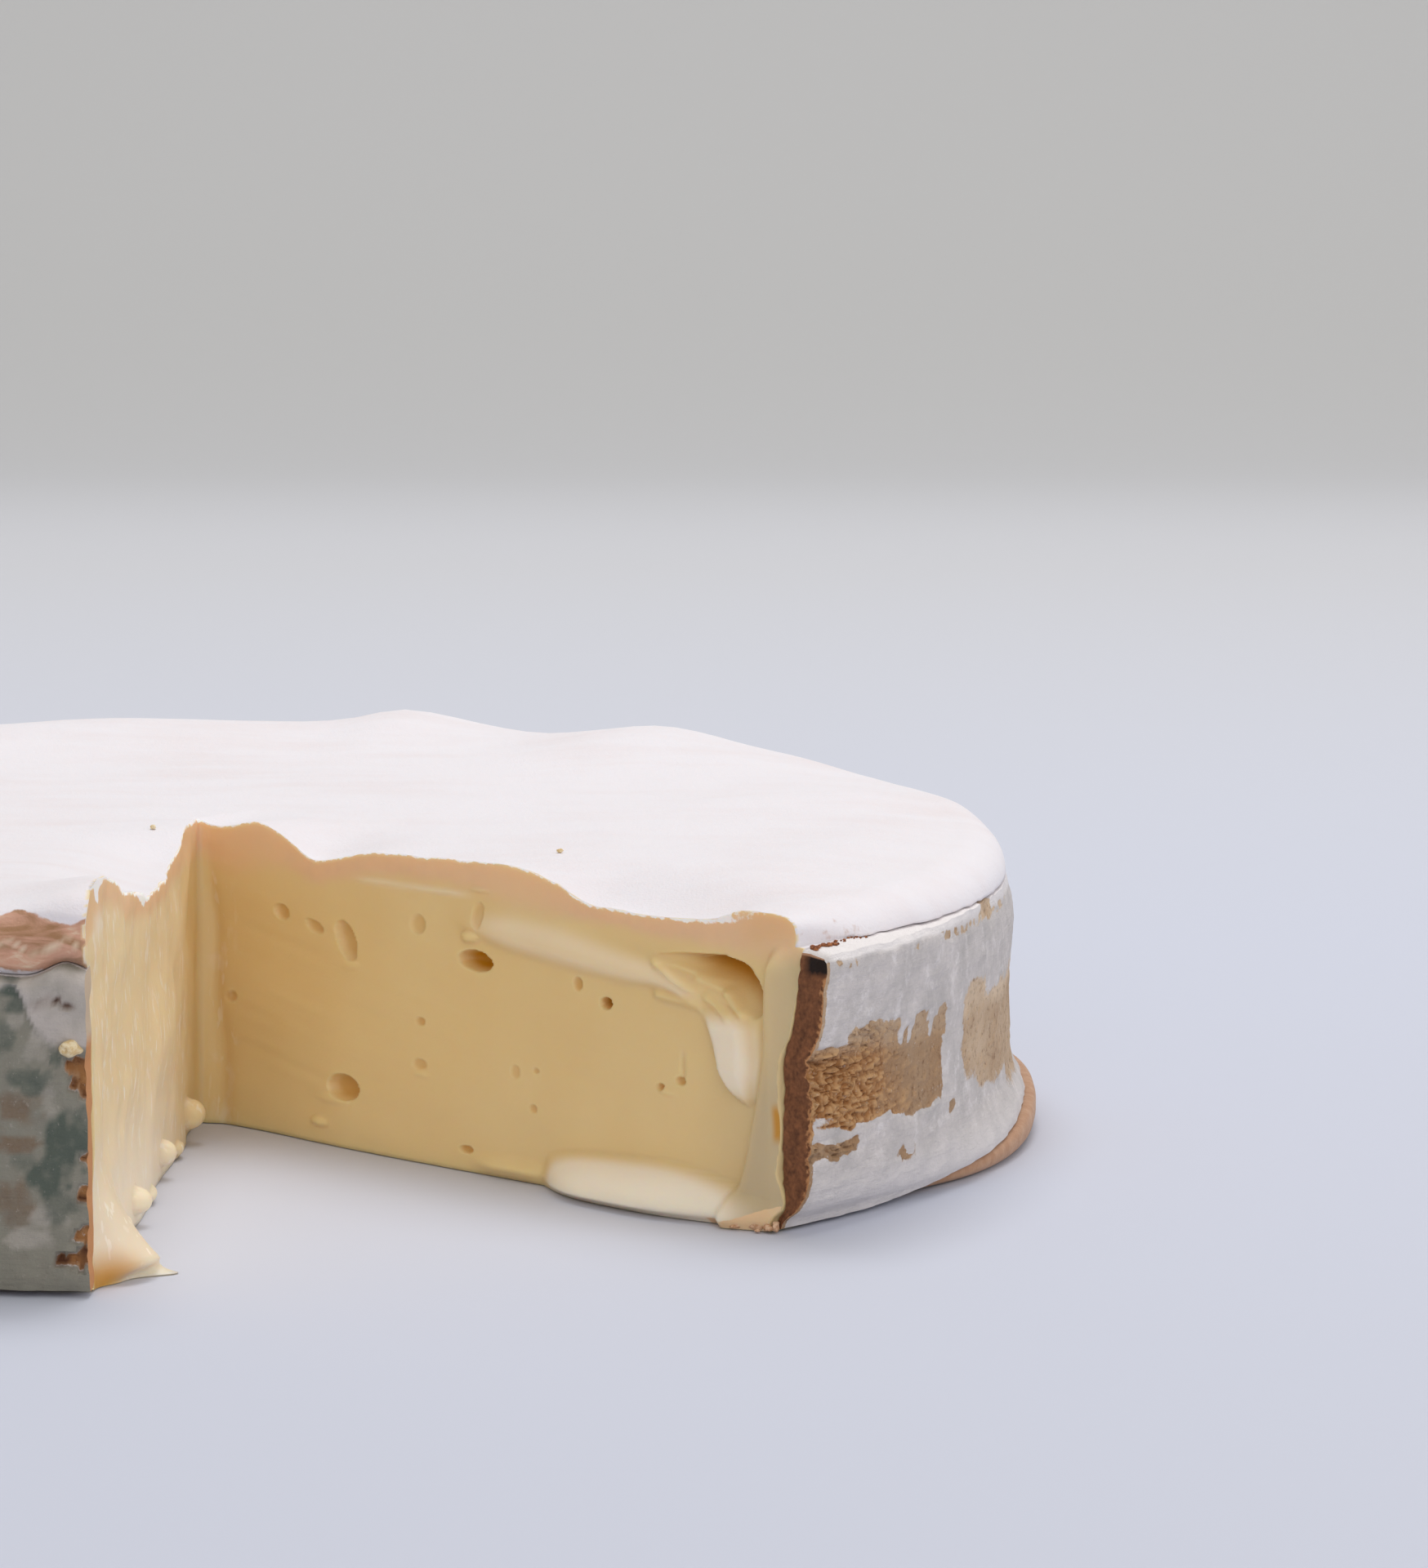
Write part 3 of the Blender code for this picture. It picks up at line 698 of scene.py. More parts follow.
def face_place(side):
    along, gap = heading(CUT_RIGHT if side == "right" else CUT_LEFT), into_gap(side)

    def place(u, v):
        s, z, edge, to_wall = on_face(side, u, v)
        out = relief(side, s, z)
        moved = round_corner(along[0] * s + gap[0] * out, along[1] * s + gap[1] * out, s)
        points = np.stack((*moved, z), -1)
        below = np.minimum(edge - z, to_wall + 60.0 * (1.0 - smooth(0.66, 0.74, v)))
        marks = {name: np.zeros(u.shape) for name in ("crust", "line", "streak", "shade")}
        marks["flesh"] = np.ones(u.shape)
        if side == "right":
            cut, down = scoop(s, z)
            # Amber, mostly painted shade: the scoop's inside, deepest under its lip, and the wedge's inner
            # crease. An amber sliver lies beside the bark between heights 14.5 and 20, and a faint amber tint
            # under the rind's edge by the bark.
            brown = 1.15 * smooth(0.4, 5.0, cut) * (1.0 - 0.75 * smooth(0.3, 1.0, down))
            crease = 0.16 * bell(s, through(VERTEX_CREASE, z) + 0.6, 1.5) * (1.0 - smooth(40.0, 46.0, z))
            amber_sliver = 0.9 * band(z, 14.5, 20.0, 1.0) * (1.0 - smooth(0.4, 1.2, to_wall))
            nose = 0.16 * smooth(124.0, 131.0, s) * (1.0 - smooth(2.0, 5.5, edge - z))
            darkened = np.maximum(np.maximum(crease, amber_sliver), nose)
            marks["amber"] = np.maximum(np.maximum(eyes(s, z)[1], 0.8 * brown), darkened)
            # Smears of paste are painted paler, as thinner paste and partly as a painted highlight where they
            # catch the light.
            pale = np.maximum(0.45 * smooth(0.2, 1.6, smear(s, z)), 0.9 * smooth(0.2, 2.4, tongue(s, z)))
            pale = np.maximum(pale, smooth(0.5, 4.0, roll(s, z)))
            pale = np.maximum(pale, 0.35 * band(z, 45.6, 46.8, 0.5) * band(s, 40.0, 66.0, 3.0))
            marks["cream"] = pale * (1.0 - smooth(0.5, 2.0, cut))
            # Painted shade: the curtain's fold, which turns from the light, is painted greyer, and so is the
            # paste just before it, low down.
            fold = s - through(CURTAIN_CREASE, z)
            before_fold = 0.3 * smooth(-16.0, -2.0, fold) * (1.0 - smooth(20.0, 32.0, z))
            marks["shade"] = 0.7 * smooth(-1.0, 4.0, fold) + before_fold
            # Pale streaks on the wedge's corner strip, partly painted light on the shaded corner.
            marks["streak"] = 0.5 * bell(s, 5.0, 2.6)
            damp_top = 0.9 + 3.2 * smooth(126.0, 138.0, s)
            damp = smooth(118.0, 124.0, s) * (1.0 - smooth(damp_top, damp_top + 1.2, z))
            below = below + (1.6 - below) * damp
            marks["peel"] = through(PEEL_RIGHT, s)
            marks["white_reach"] = 0.10 + 0.25 * band(s, 88.0, 124.0, 4.0) - 0.5 * smooth(131.0, 137.0, s)
        else:
            drip = 3.2 * bell(s, 125.0, 2.6) + 1.6 * bell(s, 75.0, 4.0)
            run_down = bell(s, 124.5, 3.4 + 0.35 * (edge - z)) * (1.0 - smooth(5.0, 13.0, edge - z))
            # Painted shadow in amber under the dollop's foot, beside the bark.
            marks["amber"] = 0.9 * (1.0 - smooth(1.0, 7.0, z)) * smooth(127.0, 132.5, s)
            low = 0.30 + 0.45 * (1.0 - smooth(6.0, 30.0, z)) * smooth(20.0, 60.0, s)
            dollop = bell(s, DOLLOP_S, 9.0) * (1.0 - smooth(8.0, 18.0, z))
            low = low - 0.12 * dollop
            marks["shade"] = 0.8 * dollop
            pale = np.maximum(low * smooth(6.0, 30.0, s), 0.3 * smooth(1.0, 5.0, out))
            marks["cream"] = np.maximum(pale, run_down)
            marks["streak"] = smooth(8.0, 30.0, s)
            marks["peel"] = through(PEEL_LEFT, s)
            marks["white_reach"] = 0.5 + drip
        marks["below_edge"] = below
        return points, marks

    return place


place_s, _, edge, _ = on_face("right", np.array([0.13]), np.array([1.0]))
print("right face at s %.0f: the rind's edge is %.1f mm high" % (place_s[0], edge[0]))

# %% [markdown]
# ## Colours and nodes
#
# Colours are written as sRGB hex, as a colour picker shows them, and one function turns them into the
# linear values that a shader needs. A second small function adds a node with its settings and links.

# %% Tools for materials
ORGANIC_IOR = 1.45
COLOUR = {"data_type": "RGBA", "out": 2}
SOFT = {"interpolation_type": "SMOOTHSTEP"}


def linear(code):
    """The linear colour of an sRGB hex code."""
    parts = [int(code[i:i + 2], 16) / 255.0 for i in (1, 3, 5)]
    return (*[c / 12.92 if c <= 0.04045 else ((c + 0.055) / 1.055) ** 2.4 for c in parts], 1.0)


def node(tree, kind, inputs=None, out=0, **settings):
    """Add one node and give back one of its outputs. A socket is linked, and any other value is set."""
    new = tree.nodes.new("ShaderNode" + kind)
    for name, value in settings.items():
        setattr(new, name, value)
    for name, value in (inputs or {}).items():
        if isinstance(value, bpy.types.NodeSocket):
            tree.links.new(value, new.inputs[name])
        else:
            new.inputs[name].default_value = value
    return new.outputs[out]


def start_material(name, roughness):
    """A new material with its principled shader, and the place of each point in millimetres."""
    material = bpy.data.materials.new(name)
    material.use_nodes = True
    tree = material.node_tree
    shader = tree.nodes["Principled BSDF"]
    shader.inputs["Roughness"].default_value = roughness
    shader.inputs["IOR"].default_value = ORGANIC_IOR
    here = node(tree, "TexCoord", out="Object")
    mm = node(tree, "VectorMath", {0: here, "Scale": 1.0 / MM}, operation="SCALE")
    return material, tree, shader, mm


def dress(tree, shader, sockets, values=None):
    """Link the sockets to the shader, and set its inputs that are the same all over."""
    for name, socket in sockets.items():
        tree.links.new(socket, shader.inputs[name])
    for name, value in (values or {}).items():
        shader.inputs[name].default_value = value


print("linear value of #808080: %.3f" % linear("#808080")[0])

# %% [markdown]
# ## Ripe paste
#
# The inside of the cheese is a moist emulsion of fat and protein. It is pale straw yellow, lets light a
# few millimetres in, and has a soft broad gloss. Towards the rind it turns peach, where it has ripened
# most. The hollows are painted amber, a painted shade for light that reaches them only through paste,
# and smears are painted paler, because they are thin and as a painted highlight where they catch the
# light. The curtain's fold is painted greyer, a painted shade where it turns from the light. The white
# of the rind hangs a little over the cut's edge, and is painted brighter there than on top, a painted
# highlight against the shade of the cut faces.

# %% Paste colours
PASTE = "#EED6A0"
PASTE_WARM = "#E8C88C"
PASTE_CREAM = "#FAECD8"
# Amber: painted shade in hollows, the scoop and creases, and painted shadow under the dollop.
PASTE_AMBER = "#CA8C10"
# Painted shade on the curtain's fold, and a greyer tone on the dollop.
PASTE_SHADE = "#CAB690"
PEACH = "#F0CCA0"
PEACH_PALE = "#E5C09C"
BLOOM = "#E9E5EA"
# The rind's white where it hangs over a cut face, painted brighter than BLOOM as a painted highlight against
# the faces' shade.
BLOOM_HIGHLIGHT = "#FDFBF9"
BLOOM_PINK = "#DFCFCE"

# %% Paste marks and patterns
paste, tree, shader, mm = start_material("ripe paste of soft cheese", 0.40)
below, peel, reach, amber, cream, streak, shade = (
    node(tree, "Attribute", out="Fac", attribute_name=mark)
    for mark in ("below_edge", "peel", "white_reach", "amber", "cream", "streak", "shade")
)
cloudy, mottle, torn, fine = (
    node(tree, "TexNoise", {"Vector": mm, "Scale": scale, "Detail": detail})
    for scale, detail in ((0.045, 3.0), (0.35, 4.0), (0.75, 5.0), (1.6, 4.0))
)
# Broad damp streaks and narrow slivers of fat, both drawn out upwards by the knife and painted paler; they
# are partly painted highlights of wet paste
streaks_and_sheen, sliver = (
    node(tree, "TexNoise", {
        "Vector": node(tree, "Mapping", {"Vector": mm, "Scale": (close, close, 0.2)}),
        "Scale": 1.0, "Detail": detail,
    })
    for close, detail in ((0.3, 5.0), (0.8, 2.0))
)
streaks_and_sheen = node(tree, "MapRange", {"Value": streaks_and_sheen, "From Min": 0.54, "From Max": 0.68, "To Max": 0.8})
sliver = node(tree, "MapRange", {"Value": sliver, "From Min": 0.60, "From Max": 0.66})
streaks_and_sheen = node(tree, "Math", {0: streaks_and_sheen, 1: sliver}, operation="MAXIMUM")
streaks_and_sheen = node(tree, "Math", {0: streaks_and_sheen, 1: streak}, operation="MULTIPLY")
pale = node(tree, "Math", {0: streaks_and_sheen, 1: cream}, operation="MAXIMUM")
print("paste patterns need", len(tree.nodes), "nodes")

# %% Paste layers, from the flesh out to the white of the rind
ripe = node(tree, "MapRange", {"Value": peel, "From Min": 6.5, "From Max": 3.8})
ripe = node(tree, "Math", {0: ripe, 1: mottle}, operation="MULTIPLY")
layer = node(tree, "Mix", {0: ripe, 6: linear(PEACH), 7: linear(PEACH_PALE)}, **COLOUR)
soft_depth = node(tree, "Math", {0: mottle, 1: 1.6, 2: below}, operation="MULTIPLY_ADD")
depth_share = node(tree, "Math", {0: soft_depth, 1: peel}, operation="DIVIDE")
in_layer = node(tree, "MapRange", {
    "Value": depth_share, "From Min": 0.75, "From Max": 1.45, "To Min": 1.0, "To Max": 0.0,
}, **SOFT)
ragged = node(tree, "Math", {0: torn, 1: 1.4, 2: -0.7}, operation="MULTIPLY_ADD")
hang = node(tree, "Math", {0: reach, 1: ragged}, operation="ADD")
over = node(tree, "Math", {0: hang, 1: below}, operation="SUBTRACT")
white = node(tree, "MapRange", {"Value": over, "From Min": -0.12, "From Max": 0.18}, **SOFT)
skin = node(tree, "Mix", {0: cloudy, 6: linear(PASTE_WARM), 7: linear(PASTE)}, **COLOUR)
# Layers: painted shade, pale smears and streaks (partly painted highlights), the peach layer, amber (mostly
# painted shade) and the rind's white, painted brighter as a painted highlight.
for share, colour in (
    (shade, linear(PASTE_SHADE)), (pale, linear(PASTE_CREAM)), (in_layer, layer),
    (amber, linear(PASTE_AMBER)), (white, linear(BLOOM_HIGHLIGHT)),
):
    skin = node(tree, "Mix", {0: share, 6: skin, 7: colour}, **COLOUR)
gloss = node(tree, "MapRange", {"Value": mottle, "To Min": 0.34, "To Max": 0.48})
gloss = node(tree, "Mix", {0: white, 2: gloss, 3: 0.9})
bump = node(tree, "Bump", {"Height": fine, "Strength": 0.35, "Distance": 0.12 * MM})
dress(tree, shader, {"Base Color": skin, "Roughness": gloss, "Normal": bump}, {
    "Subsurface Weight": 0.45, "Subsurface Radius": (1.0, 0.62, 0.32), "Subsurface Scale": 4.0 * MM,
})
print("paste material has", len(tree.nodes), "nodes")

# %% [markdown]
# ## Bloomy rind
#
# The white is a felt of mould threads that is brushed flat while the cheese ripens. It is matt, very
# pale, and slightly pink where the rind below shows through. Under the strap and at the foot it is worn
# off, and the tan skin shows. Its threads are far too fine to see, so the bump is a soft unevenness.

# %% Rind colours
CRUST_PINK = "#D0A189"
CRUST_TAN = "#A57C5A"
CRUST_PALE = "#DFC8AE"
CRUST_FOOT = "#BD9679"
CRUST_FOOT_DARK = "#AE8263"

# %% Rind patterns
rind, tree, shader, mm = start_material("bloomy white rind", 0.92)
crust, line, flesh = (
    node(tree, "Attribute", out="Fac", attribute_name=mark) for mark in ("crust", "line", "flesh")
)
brush_lines = node(tree, "Mapping", {"Vector": mm, "Scale": (0.035, 0.11, 0.1), "Rotation": (0, 0, 0.12)})
brushed = node(tree, "TexNoise", {"Vector": brush_lines, "Scale": 1.0, "Detail": 5.0})
layers = node(tree, "Mapping", {"Vector": mm, "Scale": (0.10, 0.10, 0.30)})
layer = node(tree, "TexNoise", {"Vector": layers, "Scale": 1.0, "Detail": 5.0, "Distortion": 1.4})
broad, speck, felt = (
    node(tree, "TexNoise", {"Vector": mm, "Scale": scale, "Detail": detail, "Roughness": rough})
    for scale, detail, rough in ((0.028, 4.0, 0.6), (0.5, 5.0, 0.5), (2.2, 3.0, 0.5))
)
worn = node(tree, "Math", {0: broad, 1: brushed}, operation="MULTIPLY")
blush = node(tree, "MapRange", {"Value": worn, "From Min": 0.2, "From Max": 0.5, "To Max": 0.42})
up = node(tree, "SeparateXYZ", {0: mm}, out="Z")
tan, edge_line, low, damp = (
    node(tree, "MapRange", {"Value": value, "From Min": start, "From Max": end})
    for value, start, end in ((layer, 0.38, 0.58), (layer, 0.60, 0.68), (up, 14.0, 9.0), (speck, 0.30, 0.70))
)
edge_line = node(tree, "Math", {0: edge_line, 1: line}, operation="MAXIMUM")
print("rind patterns need", len(tree.nodes), "nodes")

# %% Rind layers
damp = node(tree, "Mix", {0: damp, 6: linear(CRUST_FOOT_DARK), 7: linear(CRUST_FOOT)}, **COLOUR)
bare = node(tree, "Mix", {0: tan, 6: linear(CRUST_TAN), 7: linear(CRUST_PINK)}, **COLOUR)
for share, colour in ((edge_line, linear(CRUST_PALE)), (low, damp)):
    bare = node(tree, "Mix", {0: share, 6: bare, 7: colour}, **COLOUR)
lift = node(tree, "Math", {0: speck, 1: 0.9, 2: -0.45}, operation="MULTIPLY_ADD")
shown = node(tree, "Math", {0: crust, 1: lift}, operation="ADD")
shown = node(tree, "MapRange", {"Value": shown, "From Min": 0.38, "From Max": 0.62}, **SOFT)
skin = linear(BLOOM)
for share, colour in ((blush, linear(BLOOM_PINK)), (shown, bare), (flesh, linear(PASTE))):
    skin = node(tree, "Mix", {0: share, 6: skin, 7: colour}, **COLOUR)
soft = node(tree, "Math", {0: felt, 1: speck}, operation="ADD")
bump = node(tree, "Bump", {"Height": soft, "Strength": 0.5, "Distance": 0.2 * MM})
dress(tree, shader, {"Base Color": skin, "Normal": bump}, {
    "Sheen Weight": 0.15, "Sheen Roughness": 0.5, "Subsurface Weight": 0.15,
    "Subsurface Radius": (1.0, 0.8, 0.7), "Subsurface Scale": 1.5 * MM,
})
print("rind material has", len(tree.nodes), "nodes")

# %% [markdown]
# ## The body of the cheese
#
# The four panels are made and laid. The right face is split once more all over, and again round its eyes
# and the scoop, because those are the smallest forms on the wheel. Then the panels are joined, their
# shared edges merged and the open base closed with one flat face.

# %% Panels of the cheese
ROUND_COLUMNS = 240
RINGS = 120


def near_small_forms(u, v):
    s, z, _, _ = on_face("right", u, v)
    near = (s > 109.0) & (s < 133.0) & (z > 32.4) & (z < 43.2)
    for eye in EYES:
        near = near | (across(s, z, eye) < 1.0 + 0.6 / min(eye[2], eye[3]))
    return near & (u > 0.02) & (u < 0.98)


def near_left_forms(u, v):
    s, z, _, _ = on_face("left", u, v)
    near = (s > 114.0) & (z < 18.0)
    for ls, lz, long, tall, _ in LUMPS_LEFT:
        near = near | (np.hypot((s - ls) / long, (z - lz) / tall) < 1.5)
    return near & (u > 0.012) & (u < 0.988) & (v > 0.018)


def inner(u, v):
    return (u > 0.012) & (u < 0.988) & (v > 0.018) & (v < 0.982)


top = flat_panel("top", ROUND_COLUMNS, RINGS)
lay(top, top_place)
outside = flat_panel("outside", ROUND_COLUMNS, ROWS)
lay(outside, outside_place)
right_face = flat_panel("right_face", RINGS, ROWS)
refine(right_face, inner)
refine(right_face, near_small_forms)
lay(right_face, face_place("right"))
left_face = flat_panel("left_face", RINGS, ROWS)
refine(left_face, near_left_forms)
lay(left_face, face_place("left"))
for panel, material in ((top, rind), (outside, rind), (right_face, paste), (left_face, paste)):
    panel.data.materials.append(material)
    print(panel.name, len(panel.data.polygons), "faces")

# %% Join the panels and close the base
only(top, outside, right_face, left_face)
bpy.ops.object.join()
cheese = bpy.context.active_object
cheese.name = "cheese_body"
bpy.ops.object.mode_set(mode="EDIT")
bpy.ops.mesh.select_mode(type="VERT")
bpy.ops.mesh.select_all(action="SELECT")
bpy.ops.mesh.remove_doubles(threshold=0.002 * MM)
bpy.ops.mesh.select_all(action="DESELECT")
bpy.ops.mesh.select_non_manifold()
bpy.ops.mesh.edge_face_add()
bpy.ops.mesh.select_all(action="SELECT")
bpy.ops.mesh.normals_make_consistent(inside=False)
bpy.ops.object.mode_set(mode="OBJECT")
bpy.ops.object.shade_smooth()


def triangles(piece):
    return sum(len(face.vertices) - 2 for face in piece.data.polygons)


def open_edges(piece):
    """Edges that don't have exactly two faces."""
    uses = np.zeros(len(piece.data.edges), int)
    loops = np.empty(len(piece.data.loops), int)
    piece.data.loops.foreach_get("edge_index", loops)
    np.add.at(uses, loops, 1)
    return int((uses != 2).sum())


print("cheese:", triangles(cheese), "triangles,", open_edges(cheese), "open edges")
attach(cheese, "root")
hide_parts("cheese")

# %% [markdown]
# ## The strap of bark
#
# The strap is the inner bark of a spruce, peeled along the trunk, so its fibres run round the wheel. Where
# the bloom has rubbed off, the bare bark is brown, and crumbly close to the cut. On the left it is
# covered with blue-grey mould. The strap is made as one tube of four sides, laid over its outline, with a
# small panel over each sawn end. The bloom stands a little proud of the bark, so the patches have an
# edge of real height.

# %% Places and marks of the bark
HIGH_ROWS = 56
WIDE_ROWS = 6
LOOP_ROWS = 2 * (HIGH_ROWS + WIDE_ROWS)

# Patches where the bark is bare: angle from and to, height from and to, softness in angle and height
BARE_PATCHES = (
    (-44.0, -38.8, 17.4, 29.4, 0.5, 1.0), (-40.0, -33.6, 16.4, 32.0, 0.5, 0.8),
    (-34.4, -26.6, 15.6, 29.4, 0.5, 0.9), (-31.6, -29.4, 28.6, 32.0, 0.3, 0.5),
    (-44.0, -38.2, 11.6, 14.4, 0.6, 0.6), (-27.6, -25.8, 26.0, 31.0, 0.4, 0.8),
    (-22.4, -17.0, 17.5, 32.0, 1.2, 4.0), (-19.0, -8.0, 14.0, 29.0, 1.2, 4.0),
    (-10.0, 2.0, 11.0, 30.0, 2.0, 4.0), (-25.2, -24.0, 13.0, 15.0, 0.4, 0.6),
    (-18.2, -14.6, 42.0, 44.4, 0.5, 0.5),
)

# Blots of mould on the left: angle, height, half width in degrees, half height, strength
DARK_BLOTS = (
    (263.6, 47.2, 0.9, 2.2, 1.0), (264.0, 44.0, 0.7, 1.5, 0.8), (263.3, 38.9, 0.7, 2.6, 0.7),
    (264.7, 32.3, 1.2, 1.9, 0.8), (266.4, 36.4, 0.5, 1.2, 0.8), (267.0, 22.8, 1.9, 4.6, 1.0),
    (265.9, 18.6, 1.5, 3.4, 1.0), (266.8, 13.4, 1.2, 2.6, 0.55), (264.6, 20.4, 1.4, 1.4, 0.5),
)
BROWN_BLOTS = (
    (263.8, 28.2, 1.7, 3.0, 0.9), (263.8, 23.0, 1.4, 1.5, 1.0), (263.8, 14.6, 1.4, 4.2, 0.8),
    (265.2, 29.8, 0.8, 1.4, 0.5),
)
PALE_BLOTS = (
    (266.3, 40.6, 1.6, 2.8, 1.0), (265.7, 11.8, 1.0, 1.8, 0.7), (264.6, 8.8, 1.8, 1.5, 0.8),
    (265.0, 36.8, 0.9, 1.4, 0.5), (265.9, 28.9, 0.6, 2.0, 0.5), (264.0, 41.6, 0.7, 1.2, 0.6),
)

# Chips at the left end: height, half height, how far they reach from the end
CHIPS = (
    (35.0, 1.5, 4.0), (31.6, 2.6, 2.2), (20.6, 0.9, 2.0), (15.2, 1.3, 2.8), (9.2, 1.3, 2.2), (5.6, 1.5, 5.6),
)

# Tongues of bloom that hang into the bare bark: angle and width
COMBS = ((-33.2, 0.45), (-32.0, 0.35), (-28.6, 0.4), (-24.5, 0.8))


def bare_bark(angle, z):
    """1 where the bark is bare, with ragged edges."""
    arc = arc_length(angle)
    shift = 0.9 * grain(arc, z, 0.0, 3.2, 11) + 0.5 * grain(arc, z, 0.0, 1.3, 12)
    bare = np.zeros(np.broadcast(angle, z).shape)
    for start, end, low, high, soft, tall in BARE_PATCHES:
        patch = band(angle + 0.35 * shift, start, end, soft) * band(z + shift, low, high, tall)
        bare = np.maximum(bare, patch)
    combs = sum(bell(angle, centre, width) for centre, width in COMBS)
    bare = bare * (1.0 - np.clip(combs, 0.0, 1.0) * smooth(26.0, 28.0, z + shift))
    under_lip = seam_height(angle) - 2.3 - z + 0.5 * grain(arc, 0.0, 0.0, 7.0, 33)
    flecks = smooth(-0.35, 0.1, grain(arc, 0.8 * z, 0.0, 1.0, 34))
    flecks = flecks * smooth(-0.8, -0.1, grain(arc, 0.0, 0.0, 6.0, 35))
    bare = np.maximum(bare, bell(under_lip, 0.0, 0.8) * flecks * (angle < 60.0))
    peppered = smooth(0.0, 0.3, grain(arc, 0.6 * z, 0.0, 0.8, 38))
    peppered = peppered * bell(angle, -31.9, 1.3) * bell(z, 9.3, 1.7)
    bare = np.maximum(bare, peppered)
    round_back = smooth(8.0, 25.0, angle) * (1.0 - smooth(212.0, 232.0, angle))
    loose = smooth(-0.05, 0.5, grain(arc, 1.9 * z, 0.0, 30.0, 13)) * band(z, 9.0, 37.0, 5.0)
    return np.maximum(bare, loose * round_back)


def mouldy(angle, z):
    """1 where mould covers the bark, on the left."""
    arc = arc_length(angle)
    low_edge = -2.0 + 1.0 * grain(arc, 0.0, 0.0, 6.0, 24)
    uneven = angle + 9.0 * grain(arc, z, 0.0, 17.0, 59) + 4.0 * grain(arc, z, 0.0, 6.0, 60)
    return smooth(206.0, 250.0, uneven) * smooth(low_edge - 0.8, low_edge + 0.8, z)


def blots(angle, z, places, size, seed):
    """Soft blots at the given places, and noise of the same kind where none are given."""
    arc = arc_length(angle)
    ragged = 0.45 * grain(arc, z, 0.0, 2.6, seed) + 0.3 * grain(arc, z, 0.0, 1.2, seed + 1)
    found = smooth(0.05, 0.5, grain(arc, z, 0.0, size, seed + 2) + 0.4 * ragged)
    found = found * (0.4 + 0.6 * smooth(232.0, 258.0, angle)) * (1.0 - smooth(260.5, 262.5, angle))
    for centre, height, wide, tall, strength in places:
        away = np.hypot((angle - centre) / wide, (z - height) / tall) + ragged
        found = np.maximum(found, strength * (1.0 - smooth(0.55, 1.15, away)))
    return found


def chips(angle, z):
    """1 where the bark's outside is chipped off at its left end."""
    arc = arc_length(angle)
    ragged = 0.35 * grain(arc, z, 0.0, 1.7, 25) + 0.2 * grain(arc, z, 0.0, 0.8, 36)
    from_end = arc_length(CUT_LEFT - angle)
    chipped = np.zeros(np.broadcast(angle, z).shape)
    for height, tall, reach in CHIPS:
        away = np.hypot(from_end / reach, (z - height) / tall) + ragged
        chipped = np.maximum(chipped, 1.0 - smooth(0.75, 1.05, away))
    return chipped


def ledge_left(angle, z):
    """1 on the pale layer that stands out along the top of the left bark."""
    arc = arc_length(angle)
    low = 46.9 - 8.6 * smooth(263.6, 266.0, angle) + 0.9 * grain(arc, z, 0.0, 3.0, 26)
    high = 48.6 + 1.4 * smooth(264.0, 266.0, angle) + 0.5 * grain(arc, 0.0, 0.0, 2.2, 37)
    return smooth(240.0, 256.0, angle) * band(z, low, high, 0.6)


def crack_left(angle, z):
    line = 44.5 + 0.4 * np.sin(2.6 * angle) + 0.3 * grain(angle, 0.0, 0.0, 0.5, 27)
    return bell(z, line, 0.36) * band(angle, 265.0, 267.5, 0.4)


def crumble(arc, z):
    """Crumbs of the bare bark, from 0 in the cracks to about 1 on top of them."""
    return np.abs(grain(arc, 1.8 * z, 0.0, 1.5, 20)) + 0.7 * np.abs(grain(arc, 1.6 * z, 0.0, 0.7, 28))


def bark_skin(angle, z):
    """How far the bark's outer skin stands off its plain outline."""
    arc = arc_length(angle)
    bare = bare_bark(angle, z)
    near = bell(angle, CUT_RIGHT, 6.5)
    waves = 0.05 * (np.sin(0.31 * angle + 0.2 * z) + 0.7 * np.sin(0.83 * angle - 0.35 * z + 1.0))
    fibres = 0.10 * grain(0.22 * arc, z, 0.0, 1.0, 17) + 0.12 * grain(arc, z, 0.0, 4.2, 18)
    bloom = (1.0 - bare) * (0.42 + 0.12 * grain(arc, z, 0.0, 2.4, 19) + 0.08 * grain(arc, z, 0.0, 1.1, 53))
    crumbs = bare * (0.12 + 0.88 * near) * 1.4 * (crumble(arc, z) - 0.3)
    split = -0.9 * near * bell(z + 0.28 * arc, -1.6, 0.3) * band(angle, -44.0, -39.0, 0.6)
    left = (0.8 + 0.25 * grain(arc, z, 0.0, 2.2, 54)) * ledge_left(angle, z)
    left = left - 1.2 * crack_left(angle, z) - 1.5 * chips(angle, z)
    left = left + 0.3 * mouldy(angle, z) * grain(arc, z, 0.0, 3.4, 29)
    return waves + fibres + bloom + crumbs + split + left


def end_shift(side, z, w):
    """How far a sawn end stands out along the strap. The left end is notched and knotty."""
    if side == "right":
        saw = 0.22 * grain(4.7 * w, z, 0.0, 1.5, 21) + 0.12 * grain(4.7 * w, z, 0.0, 0.7, 30)
        return 0.9 + 0.25 * np.sin(0.5 * z) + 0.35 * w + saw
    notches = sum(bell(z, height, tall) for height, tall, _ in CHIPS)
    return -0.4 * notches * w + 0.06 * np.sin(0.7 * z) + 0.15 * grain(4.2 * w, z, 0.0, 2.2, 22)


